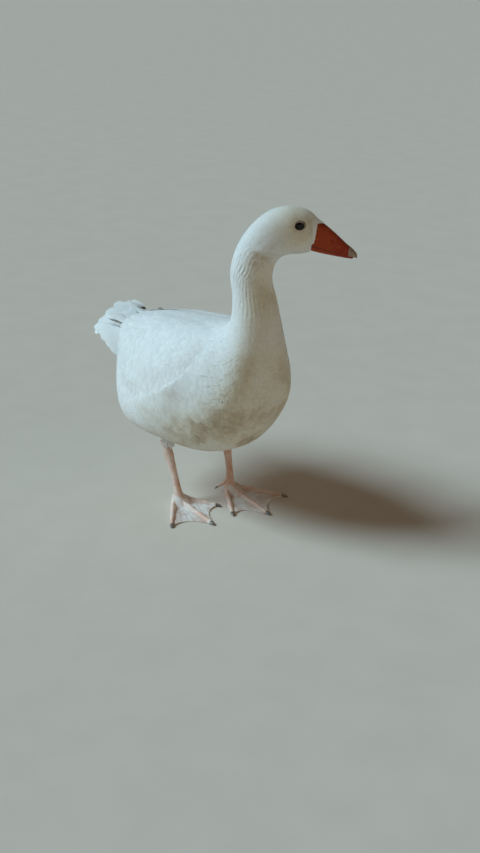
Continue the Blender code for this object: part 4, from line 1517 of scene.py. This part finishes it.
@dataclass
class WingCoat(Assembly):
    """Coverts, tertials and the closed quills of one folded wing."""

    side: Side
    lines: int = 12
    pitch: Table = ((0.3, 2, 4, 6, 7.3), (.021, .019, .015, .011, .008))
    length: Table = ((0.3, 2, 4, 6, 7.3), (.046, .047, .042, .031, .023))
    vane: Vane = Vane(rows=(0.0, 0.25, 0.48, 0.68, 0.85, 1.0), strips=10, root=0.5, tip=0.62, widest=0.6,
                      lag=0.24, camber=0.022, fray=0.03, quill=0.00022, tuck=0.0004, crisp=0.5)
    ruffle: Ruffle = Ruffle(size=0.09, yaw=0.06, lift=0.0004, bend=0.035)
    tertial: Vane = Vane(rows=Vane.even(13), strips=14, root=0.6, tip=0.4, widest=0.5, lag=0.16,
                         camber=0.04, fray=0.022, quill=0.0004, crisp=0.65)
    quill: Vane = Vane(rows=Vane.even(12), strips=12, root=0.7, tip=0.4, widest=0.5, lag=0.12,
                       camber=0.03, fray=0.006, quill=0.0005, crisp=0.7)
    quills: int = 6
    # station, share across the wing, length and width in mm, yaw, lift of the tip in mm
    tertials: Rows = (
        (4.6, 0.1, 78, 21, -0.02, 0.8), (4.5, 0.28, 80, 21, -0.08, 0.8),
        (4.2, 0.02, 80, 20, 0.02, 1), (4.1, 0.19, 84, 22, -0.05, 1),
        (3.9, 0.37, 84, 21, -0.12, 0.8), (3.7, 0.09, 86, 22, 0.0, 1.4),
        (3.5, 0.27, 88, 22, -0.09, 1.2), (3.3, 0.46, 80, 20, -0.14, 0.8),
        (3.2, 0.01, 88, 21, 0.04, 1.8), (3.0, 0.17, 88, 22, -0.04, 1.8),
        (2.8, 0.35, 86, 22, -0.11, 1.4), (2.5, 0.07, 84, 22, 0.02, 2.8),
        (2.4, 0.25, 84, 22, -0.08, 2.2), (2.2, 0.46, 74, 20, -0.15, 1.2))

    def path(self, at: Array, share: Array) -> Array:
        """Angle of a share of the way across the wing."""
        upper, lower = wing_span(at)
        return self.side.value * np.radians(upper + share * (lower - upper))

    def build(self) -> None:
        """Lay the coverts from the shoulder back, the tertials over them, and the quills."""
        coat, sign = self.shop.coat, self.side.value
        row, column, ahead, apart = lattice(coat, 0.55, 7.25, (np.arange(self.lines) + 0.35) / self.lines,
                                            self.pitch, 51 + sign, 0.26, self.path)
        plan = Plan.laid(coat, row, column, ahead, self.ruffle.yaws(len(row), 52 + sign),
                         np.interp(row, *self.length), 1.75 * np.clip(apart, 0.006, None), 0.0018, 0.0003)
        add_vanes(self.shape, plan, self.vane, self.ruffle, 53 + sign)
        row, share, length, width, yaw, lift = np.array(self.tertials).T
        plan = Plan.laid(coat, row, self.path(row, share), -1, sign * yaw,
                         length / 1000, width / 1000, 0.001, lift / 1000)
        add_vanes(self.shape, plan, self.tertial, Ruffle(size=0.1, lift=0.0005, bend=0.06, curl=0.0008),
                  56 + sign)
        self.add_quills()
        self.shop.finish(self.shape, f"coat_wing_{self.side.word}")

    def add_quills(self) -> None:
        """Add the tips of the long quills, a stack of blades that lies beside the tail."""
        sign = self.side.value

        def blade(along: Array, across: Array) -> Array:
            """Top of the closed quills: a blade that narrows as the cube of the way back."""
            past = held(along)
            half = 0.016 * np.sqrt(held(1.02 - past**3)) * (0.75 + 0.25 * past)
            x = -0.2275 - 0.052 * along
            y = sign * (0.026 - 0.003 * along + 0.9 * half * across)
            rise = (-0.001 + sign * 0.0095) * past + 0.003 * np.clip(-along, 0, None)
            z = 0.2955 + rise - 0.003 * across**2 * (1 - 0.4 * past) - 0.1 * half * across
            return stacked(x, y, z)

        sheet = Sheet(blade, np.linspace(-1, 1.1, 64), np.linspace(-1, 1, 40), outward=-sign)
        order = np.arange(self.quills)
        plan = Plan.laid(sheet, -0.75 + 0.05 * order, np.linspace(0.55, -0.45, self.quills), 1, 0.0,
                         0.096 - 0.0045 * order, 0.019, 0.004, 0.0006 * order)
        add_vanes(self.shape, plan, self.quill, Ruffle(size=0.03, lift=0.0008, bend=0.02), 60 + sign,
                  tail_marks, tail_unwrap)


@dataclass
class Tail(Assembly):
    """Fan of tail quills, with loose feathers round its root."""

    quills: int = 16
    length: float = 0.08
    half_width: float = 0.024
    half_angle: float = 32.0
    roll: float = 23.0
    quill: Vane = Vane(rows=Vane.even(14), strips=14, root=0.35, tip=0.46, widest=0.7, lag=0.1,
                       camber=0.035, fray=0.008, quill=0.0005, crisp=0.7)
    covert: Vane = Vane(rows=Vane.even(12), strips=12, root=0.5, widest=0.66, lag=0.12, camber=0.05,
                        fray=0.012, quill=0.0005, crisp=0.7)
    ragged: Vane = Vane(rows=Vane.even(11), strips=12, root=0.5, tip=0.62, widest=0.66, lag=0.14,
                        camber=0.035, fray=0.02, quill=0.0004, crisp=0.55)
    # station, degrees, length and width in mm, yaw, lift of the tip in mm; two stand up on the left
    loose: Rows = (
        (1.6, 12, 70, 28, 0.0, 4), (1.5, -14, 68, 28, 0.1, 3),
        (1.2, 30, 62, 26, -0.1, 21), (1.1, -34, 62, 26, 0.1, 8),
        (0.8, 2, 62, 26, 0.0, 5), (0.6, 50, 50, 24, -0.15, 6),
        (0.6, -55, 54, 26, 0.12, 6), (1.9, 42, 46, 10, -0.3, 22),
        (1.8, 52, 40, 8, -0.42, 20), (0.4, -20, 56, 24, 0.05, 4),
        (1.5, -96, 54, 24, 0.1, 1), (1.5, 96, 54, 24, -0.1, 1),
        (1.2, -118, 56, 24, 0.06, 2), (1.2, 118, 56, 24, -0.06, 2),
        (1.1, -142, 58, 24, 0.03, 4), (1.1, 142, 58, 24, -0.03, 4),
        (1.1, -166, 58, 24, 0.0, 5), (1.1, 166, 58, 24, 0.0, 5),
        (1.0, -66, 62, 28, 0.06, 4), (0.7, -76, 56, 26, 0.1, 4))

    def fan(self, along: Array, across: Array) -> Array:
        """Middle surface of the tail.

        Each line runs back and outwards from the root, and the fan rolls to the right as the
        0.7 power of the way back.
        """
        reach = self.length * (1 - 0.12 * across**2)
        angle = np.radians(self.half_angle) * across
        past = np.clip(along, 0, None)
        behind = along * reach * np.cos(angle * past)
        side = self.half_width * across + 0.92 * past * reach * np.sin(angle)
        roll = np.radians(self.roll) * past**0.7
        rise = 0.2765 + 0.07 * behind + side * np.sin(roll) - 0.005 * across**2 * past
        return stacked(-0.2262 - behind, side * np.cos(roll), rise)

    def build(self) -> None:
        """Lay the quills, the middle ones on top, the coverts and the loose feathers."""
        sheet = Sheet(self.fan, np.linspace(-0.1, 1.12, 90), np.linspace(-1.15, 1.15, 120), outward=-1)
        order = np.argsort(-np.abs(np.linspace(-1, 1, self.quills)))
        column = np.linspace(-0.96, 0.96, self.quills)[order]
        length = 0.079 * (1 - 0.12 * column**2) * (1 - 0.06 * (np.arange(self.quills) % 3 == 1))
        plan = Plan.laid(sheet, np.full(self.quills, 0.1), column, 1, 0.0, length, 0.0185, 0.001,
                         0.001 * (1 - np.abs(column)))
        reach = np.linalg.norm(sheet.read(plan.row, column, slice(6, 9)), axis=-1)
        plan.lie = stacked(1 / reach, 0 * reach)     # each quill keeps to its own line
        add_vanes(self.shape, plan, self.quill, Ruffle(size=0.05, lift=0.0012, bend=0.03, curl=0.001), 70,
                  tail_marks, tail_unwrap)
        for side in Side:
            self.add_skirt(side)
        row, degrees, length, width, yaw, lift = np.array(self.loose).T
        plan = Plan.laid(self.shop.coat, row, np.radians(degrees), -1, yaw, length / 1000, width / 1000,
                         0.002, lift / 1000)
        add_vanes(self.shape, plan, self.ragged, Ruffle(size=0.08, lift=0.001, bend=0.06, curl=0.002), 72)
        self.shop.finish(self.shape, "coat_tail")

    def add_skirt(self, side: Side) -> None:
        """Add the broad coverts beside the tail, which flare out under it on the right.

        Args:
            side: Side of the bird.
        """
        flare = 0.018 if side is Side.RIGHT else 0.0

        def skirt(along: Array, down: Array) -> Array:
            """Outer surface of the coverts, from the rump back and from the tail down."""
            behind = 0.185 + along * (0.1 - 0.06 * down)
            aside = 0.044 + along * flare * (1 - 0.5 * down) - 0.012 * (1 - down) ** 2
            rise = 0.272 - 0.038 * down - 0.006 * along * (1 - down)
            return stacked(-behind, side.value * aside, rise)

        sheet = Sheet(skirt, np.linspace(-0.1, 1.1, 60), np.linspace(-0.2, 1.2, 40), outward=-side.value)
        down = np.array([0.95, 0.72, 0.5, 0.28, 0.06])
        row = np.full(len(down), 0.05)
        reach = np.linalg.norm(sheet.read(row, down, slice(6, 9)), axis=-1)
        plan = Plan.laid(sheet, row, down, 1, 0.0, 0.92 * reach, 0.023, 0.003,
                         np.linspace(0.0, 0.002, len(down)))
        add_vanes(self.shape, plan, self.covert, Ruffle(size=0.05, lift=0.0006, bend=0.03),
                  75 + side.value, tail_marks, tail_unwrap)


@dataclass
class ThighCoat(Assembly):
    """Small feathers that cover the thighs and end in loose tips over the hocks."""

    lines: int = 18
    pitch: Table = ((0, 1), (0.005, 0.005))
    vane: Vane = Vane(rows=(0.0, 0.4, 0.75, 1.0), strips=6, tip=0.45, lag=0.3, camber=0.07, fray=0.08)
    ruffle: Ruffle = Ruffle(size=0.16, yaw=0.14, lift=0.0006, bend=0.08)

    def build(self) -> None:
        """Lay the feathers down both thighs."""
        for limb in LIMBS:
            surface, sign = thigh_surface(limb, 0.0035), limb.side.value
            sheet = Sheet(lambda up, angle, outer=surface: outer(1 - up, angle),
                          np.linspace(-0.25, 1.0, 90), np.linspace(-np.pi, np.pi, 73), True, -sign)
            row, column, ahead, apart = lattice(sheet, 0.1, 0.97, ring(self.lines, -np.pi), self.pitch,
                                                80 + sign)
            plan = Plan.laid(sheet, row, column, ahead, self.ruffle.yaws(len(row), 81), 0.015,
                             2.1 * apart, 0.0026, 0.0002)
            add_vanes(self.shape, plan, self.vane, self.ruffle, 83 + sign, thigh_marks, thigh_unwrap)
        self.shop.finish(self.shape, "coat_thighs")


# ---- bill and eyes


@dataclass
class Bill(Assembly):
    """Upper bill, nail and lower bill, turned with the head."""

    # culmen x, z, mouth x, z, underside x, z, half width
    stations: Rows = (
        (0.2464, 0.5466, 0.2388, 0.5035, 0.2373, 0.4948, 0.0168),
        (0.261, 0.5352, 0.256, 0.4985, 0.255, 0.4905, 0.016),
        (0.2775, 0.5208, 0.274, 0.4935, 0.273, 0.4868, 0.0143),
        (0.293, 0.5062, 0.29, 0.4893, 0.2885, 0.4838, 0.0124),
        (0.304, 0.4965, 0.302, 0.4862, 0.299, 0.482, 0.0098),
        (0.3105, 0.489, 0.3105, 0.4835, 0.306, 0.4812, 0.0045))
    nail_starts: float = 3.35
    lower_ends: float = 4.3
    nostril: tuple[float, float] = (1.5, 0.62)

    def build(self) -> None:
        """Make the three pieces."""
        parts = (("bill_upper", "bill", -0.3, self.nail_starts, True, 90),
                 ("bill_nail", "nail", self.nail_starts - 0.04, 5.0, True, 46),
                 ("bill_lower", "bill", -0.3, self.lower_ends, False, 80))
        for node, finish, first, last, upper, rings in parts:
            shape = Shape()
            at = np.linspace(first, last, rings)[:, None]
            points, height = self.surface(at, upper, finish == "nail")
            shape.add_loft(points, bill=stacked(at / 5.0, height))
            self.shop.finish(shape, f"{node}_horn", (finish,), (node,), finish)

    def surface(self, at: Array, upper: bool, nail: bool) -> tuple[Array, Array]:
        """Rings of one part of the bill.

        A ring is an arch over the mouth line, its height the cosine to the power 2 / 2.2 and its
        width the sine to the power 2 / 2.3, closed by a shallow hollow inside the mouth. The
        upper bill has a rolled edge with fine teeth, a groove over it and a sunk nostril, and
        the nail stands a little proud and hooks down.

        Args:
            at: Stations along the bill, as a column.
            upper: Whether this is the upper bill.
            nail: Whether this is its nail.

        Returns:
            The points, and their height over the mouth line as a share of the arch.
        """
        found = smooth_table(np.array(self.stations), at[:, 0])[:, None]
        culmen, mouth, under, half = found[..., 0:2], found[..., 2:4], found[..., 4:6], found[..., 6]
        far = culmen if upper else under
        arch = np.linspace(-np.pi / 2, np.pi / 2, 61)[None]
        hollow = np.linspace(1, -1, 15)[None, 1:-1]
        lift = np.abs(np.cos(arch)) ** (2 / 2.2)
        side = power(np.sin(arch), 2.3)
        low = held(1 - lift / 0.28)
        grow = np.zeros(np.broadcast(at, arch).shape)
        if upper and not nail:
            nostril_at, nostril_lift = self.nostril
            grow += 0.0007 * ease(low * 1.6) - 0.0004 * bump((lift - 0.36) / 0.07) * ease(at * 2)
            teeth = np.cos(2 * np.pi * at * 16) * (low > 0.75) * (at < 3.2)
            grow += 0.00012 * teeth
            inside = bump((at - nostril_at) / 0.24) * bump((lift - nostril_lift) / 0.085)
            rim = bump((at - nostril_at) / 0.36) * bump((lift - nostril_lift) / 0.15)
            grow += 0.0006 * rim - 0.0026 * inside
            grow -= 0.0008 * ease((0.12 - at) / 0.3)
            grow -= 0.0012 * ease((0.85 - at) / 0.3) * ease((lift - 0.74 - 0.2 * at) / 0.1)
        if nail:
            grow += 0.0005 * ease((at - self.nail_starts) / 0.12) * ease(lift * 3)
        if not upper:
            half = half * 0.93
            grow -= 0.0003 * bump((lift - 0.25) / 0.1)
            grow -= 0.0008 * ease((0.1 - at) / 0.3)
        width = half * side + np.sign(side) * grow * np.abs(np.sin(arch))
        dip = 0.1 * (1 - hollow**2) * (1 if upper else 0.6)
        width, tall, rise = (
            np.concatenate([arched, np.broadcast_to(inner, (len(at), hollow.shape[1]))], 1)
            for arched, inner in ((width, half * hollow * 0.96), (lift + 0 * at, dip),
                                  (grow * np.cos(arch), 0.0)))
        up = unit(far - mouth)
        along = mouth + (far - mouth) * tall[..., None] + up * rise[..., None]
        return turned(along[..., 0], width, along[..., 1], HEAD_TURN), tall


@dataclass
class Eye(Assembly):
    """One eyeball, a revolved ball with a slightly bulging cornea."""

    side: Side
    radius: float = 0.008

    def build(self) -> None:
        """Make the ball round the eye's axis, its map running from the front pole to the back."""
        polar = np.linspace(0.012, np.pi - 0.012, 64)[:, None]
        angle = np.linspace(0, 2 * np.pi, 73)[None, :-1]
        radius = self.radius * (1 + 0.02 * bump(polar / 0.5))
        points = EyeSite(self.side).ring(radius * np.cos(polar) + 0 * angle, radius * np.sin(polar), angle)
        self.shape.add_loft(points, ring=stacked(polar / np.pi, 0 * angle))
        word = self.side.word
        self.shop.finish(self.shape, f"eyeball_{word}", ("eye",), (f"eye_{word}",), "eye")


# ---- legs


@dataclass
class Leg(Assembly):
    """Scaly shank, webbed foot, hind toe and claws of one leg."""

    limb: Limb
    heel_length: float = 0.01
    toe_spacing: float = 0.0046
    foot_height: float = 0.015
    claw_length: float = 0.0095
    hind_claw_length: float = 0.0067
    web_hollow: float = 0.14
    foot_rows: int = 84

    def toe_line(self, toe: int) -> tuple[Array, Array, Array, Array]:
        """Line of one toe on the floor.

        Args:
            toe: Number of the toe, from the inner one.

        Returns:
            Its heel, its tip without the claw, and the directions along and across it.
        """
        ankle = np.array(self.limb.ankle[:2])
        ahead = unit(np.array(self.limb.toes[1]) - ankle)
        across = np.array([-ahead[1], ahead[0]]) * self.limb.side.value
        heel = ankle - ahead * self.heel_length + across * (1 - toe) * self.toe_spacing
        way = unit(np.array(self.limb.toes[toe]) - heel)
        tip = np.array(self.limb.toes[toe]) - way * self.claw_length
        return heel, tip, way, np.array([-way[1], way[0]]) * self.limb.side.value

    @staticmethod
    def toe_half_width(along: Array | float) -> Array:
        """Half width of a toe, swelling at its joints by a cosine of the way along."""
        joints = 0.0006 * np.cos(2 * np.pi * (along * 3 - 0.1)) * held(along * 4)
        return 0.0015 + 0.0034 * held(along / 0.22) - 0.0018 * held(along - 0.3) + joints

    @staticmethod
    def toe_height(along: Array | float) -> Array:
        """Height of a toe's crest over the floor."""
        return 0.01 - 0.004 * along + 0.0006 * np.cos(2 * np.pi * (along * 3 - 0.1))

    def foot(self) -> tuple[Array, Array]:
        """Top of the foot as a grid.

        Columns follow the toes' rounded backs and the webs between them. A web hangs from the
        toes' flanks and sags as a power of the distance from its middle, with low folds that
        fan out from the heel, and a mound rises to the shank.

        Returns:
            The points, and for each (web share, dust, distance along the toe).
        """
        along = np.linspace(0, 1, self.foot_rows)[:, None]
        offset = np.linspace(1, -1, 13)[None]
        share = np.linspace(0, 1, 24)[None, 1:-1]
        edge = np.abs(2 * share - 1)
        points: list[Array] = []
        kinds: list[Array] = []
        for toe in range(3):
            heel, tip, _, across = self.toe_line(toe)
            length = np.linalg.norm(tip - heel)
            half = self.toe_half_width(along)
            flat = heel + along[..., None] * (tip - heel) + across * (offset * half)[..., None]
            lift = 0.3 + 0.7 * (1 - np.abs(offset) ** 2.4) ** 0.8
            rise = self.toe_height(along) * lift * held((1.02 - along) / 0.05) ** 0.4
            points.append(np.concatenate([flat, np.maximum(rise, 0.0016)[..., None]], -1))
            kinds.append(stacked(0.25 * np.abs(offset) ** 2, 0.62, along * length))
            if toe == 2:
                continue
            next_heel, next_tip, _, next_across = self.toe_line(toe + 1)
            reach = along * (1 - self.web_hollow * (4 * share * (1 - share)) ** 0.8 * along**2)
            half = self.toe_half_width(reach)[..., None]
            near = heel + reach[..., None] * (tip - heel) - across * half
            far = next_heel + reach[..., None] * (next_tip - next_heel) + next_across * half
            flat = near + share[..., None] * (far - near)
            folds = 0.0003 * np.sin(9 * np.pi * share + 3 * along) * along * (1 - edge**2)
            cross = 0.00018 * np.sin(38 * along + 9 * share) * (1 - edge)
            rise = 0.0016 + 0.0016 * edge**2.6 + folds + cross
            points.append(np.concatenate([flat, np.maximum(rise, 0.0012)[..., None]], -1))
            kinds.append(stacked(1.0, 0.9 - 0.3 * edge, reach * length))
        top = np.concatenate(points, 1)
        away = np.linalg.norm(top[..., :2] - np.array(self.limb.ankle[:2]), axis=-1)
        mound = self.foot_height * held((0.03 - away) / 0.021) ** 0.9
        top[..., 2] = np.log(np.exp(top[..., 2] * 900) + np.exp(mound * 900) - 1) / 900
        return top, np.concatenate(kinds, 1)

    def add_tube(self, shape: Shape, centre: Array, fore: Array, side: Array, start: Array) -> None:
        """Add an oval tube along a line.

        Args:
            shape: Shape that receives it.
            centre: Points of the line.
            fore: Radius in the direction start, at each point.
            side: Radius across it, at each point.
            start: Direction near which the first radius is measured.
        """
        way = unit(np.gradient(centre, axis=0))
        beside = unit(np.cross(way, start))
        front = np.cross(beside, way)
        angle = ring(40)[None, :, None]
        rings = (centre[:, None] + front[:, None] * fore[:, None, None] * np.cos(angle)
                 + beside[:, None] * side[:, None, None] * np.sin(angle))
        gone = np.concatenate([[0], np.cumsum(np.linalg.norm(np.diff(centre, axis=0), axis=1))])
        shape.add_loft(rings, kind=stacked(0 * angle[..., 0], 0.45, gone[:, None]))

    def build(self) -> None:
        """Make the leg's skin and its claws."""
        limb, word = self.limb, self.limb.side.word
        skin, claws = Shape(), Shape()
        top, kinds = self.foot()
        skin.add_slab(top, top * (1, 1, 0), kind=kinds)
        self.add_shank(skin)
        start = np.array([limb.ankle[0] - 0.0045, limb.ankle[1] - limb.side.value * 0.002, 0.0215])
        tip = np.array(limb.hind)
        way = unit(tip - start)
        end = tip - way * self.hind_claw_length
        part = np.linspace(0, 1.03, 20)
        sag = np.array([0, 0, -0.0015]) * np.sin(np.pi * part)[:, None]
        taper = (0.0036 - 0.0011 * part) * (1 + 0.08 * np.sin(14 * part))
        radius = taper * held((1.06 - part) / 0.1) ** 0.4
        self.add_tube(skin, start + part[:, None] * (end - start) + sag, radius, radius, UP)
        self.add_claw(claws, end, way, self.hind_claw_length, 0.0012, 0.0021, 0.0019)
        half, height = self.toe_half_width(1.0), self.toe_height(1.0)
        for toe in range(3):
            _, root, flat_way, _ = self.toe_line(toe)
            way = np.append(flat_way, 0.0)
            self.add_claw(claws, np.append(root, 0.52 * height), way, self.claw_length, 0.0016,
                          0.92 * half, 0.4 * height, unit(way - (0, 0, 0.2)))
        self.shop.finish(skin, f"leg_skin_{word}", ("leg",),
                         (f"foot_{word}", f"shank_{word}", f"hind_toe_{word}"), "leg")
        nodes = [f"claw_{word}_{toe}" for toe in ("inner", "middle", "outer", "hind")]
        self.shop.finish(claws, f"claws_{word}", ("claw",), nodes, "claw")

    def add_shank(self, shape: Shape) -> None:
        """Add the shank, an oval tube that swells as powers of the way to each end.

        Args:
            shape: Shape that receives it.
        """
        limb = self.limb
        along = np.linspace(-0.1, 1.36, 76)
        base = np.array([limb.ankle[0], limb.ankle[1], self.foot_height + 0.0003])
        centre = base + along[:, None] * (np.array(limb.hock) - base)
        centre[:, 0] += 0.002 * np.sin(np.pi * along)
        low, high = np.clip(1 - along, 0, 1.2), held(along)
        knob = 0.0006 * bump((along - 0.97) / 0.07)
        self.add_tube(shape, centre, 0.0065 + 0.0034 * low**5 + 0.0034 * high**2.2 + knob,
                      0.0052 + 0.0026 * low**5 + 0.0028 * high**2.2 + knob, np.array([1.0, 0.0, 0.0]))

    def add_claw(self, shape: Shape, end: Array, way: Array, length: float, sunk: float,
                 half: Array | float, tall: Array | float, leaving: Array | None = None) -> None:
        """Add one blunt claw, whose size falls as a power of the way to its tip.

        Args:
            shape: Shape that receives it.
            end: End of the toe.
            way: Direction of the toe.
            length: Length of the claw outside the toe.
            sunk: Its length inside.
            half: Half width at the root.
            tall: Half height at the root.
            leaving: Direction that the claw starts in, if not the toe's.
        """
        part = np.linspace(0, 1, 16)
        size = np.sqrt(np.clip(1 - part**2.6, 0.012, 1))
        ahead = (part * (length + sunk))[:, None] * (way if leaving is None else leaving)
        centre = end - sunk * way + ahead - np.array([0, 0, 0.0006]) * (part**2)[:, None]
        centre[:, 2] = np.maximum(centre[:, 2], tall * size + 0.0002)
        self.add_tube(shape, centre, tall * size, half * size * (1 - 0.25 * part), UP)


# ---- studio


@dataclass
class Studio:
    """Pale floor, soft light and camera."""

    floor_radius: float = 40.0
    camera_place: tuple[float, float, float] = (1.7123, -1.1935, 1.0)
    camera_pitch: float = 67.3
    camera_heading: float = 53.0
    lens: float = 51.95

    def build(self) -> None:
        """Make the floor, the lights, the world and the camera."""
        ring = np.linspace(0, 2 * np.pi, 96, endpoint=False)
        points = np.column_stack([np.cos(ring), np.sin(ring), 0 * ring]) * self.floor_radius
        mesh = bpy.data.meshes.new("floor")
        mesh.from_pydata(points.tolist(), [], [list(range(len(points)))])
        floor = placed("floor", mesh)
        mesh.materials.append(self.floor_material())
        self.add_light("key", (-1.75, -2.0, 2.25), 26.0, 3.15, (0.62, 0.87, 1.0))
        self.add_light("fill", (2.6, 0.6, 0.9), 60.0, 0.24, (1.0, 0.8, 0.54))
        self.add_world()
        camera = placed("camera", bpy.data.cameras.new("camera"))
        camera.data.lens = self.lens
        camera.data.sensor_width = 36.0
        camera.data.clip_end = 200.0
        camera.location = self.camera_place
        camera.rotation_euler = np.radians([self.camera_pitch, 0.0, self.camera_heading])
        bpy.context.scene.camera = camera
        bpy.context.scene.view_settings.view_transform = "Standard"

    def floor_material(self) -> Material:
        """Pale matte floor with a faint mottle."""
        nodes = Surface(Finish("floor", 0.75, 0.3))
        mottle = nodes.ramp(nodes.noise(11.0), 0.3, 0.7)
        return nodes.dress(nodes.mix(mottle, rgb(0.65, 0.565, 0.49), rgb(0.67, 0.585, 0.51)))

    def add_light(self, name: str, way: tuple[float, float, float], spread: float, strength: float,
                  colour: tuple[float, float, float]) -> None:
        """Add a distant soft light, which lights the whole floor evenly.

        Args:
            name: Name of the light.
            way: Direction that it comes from.
            spread: Width of the light in degrees, which softens the shadows.
            strength: Its strength in watts for each square metre.
            colour: Its colour.
        """
        data = bpy.data.lights.new(name, "SUN")
        data.angle, data.energy, data.color = np.radians(spread), strength, colour
        placed(name, data).rotation_euler = (-Vector(way)).to_track_quat("-Z", "Y").to_euler()

    def add_world(self) -> None:
        """Light the scene from all round: warm and dim overhead, pale and brighter near the floor."""
        world = bpy.data.worlds.new("studio")
        world.use_nodes = True
        nodes = Nodes(world.node_tree)
        height = nodes.split(nodes.add("TexCoord").outputs["Generated"])[2]
        background = world.node_tree.nodes["Background"]
        colour = nodes.mix(nodes.ramp(height, 0.02, 0.45), rgb(0.4, 0.39, 0.36), rgb(0.095, 0.078, 0.056))
        world.node_tree.links.new(colour, background.inputs["Color"])
        bpy.context.scene.world = world


# ---- assembly


def main() -> None:
    """Build the whole bird round the frame."""
    logging.basicConfig(level=logging.INFO, format="%(message)s", stream=sys.stdout)
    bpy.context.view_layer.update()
    shop = Workshop.open()
    Studio().build()
    parts = [Skin(shop), BodyCoat(shop), NeckCoat(shop)]
    for side in Side:
        parts += [WingCoat(shop, side), Eye(shop, side)]
    parts += [Tail(shop), ThighCoat(shop), Bill(shop), *(Leg(shop, limb) for limb in LIMBS)]
    for part in parts:
        part.build()


if __name__ == "__main__":
    main()
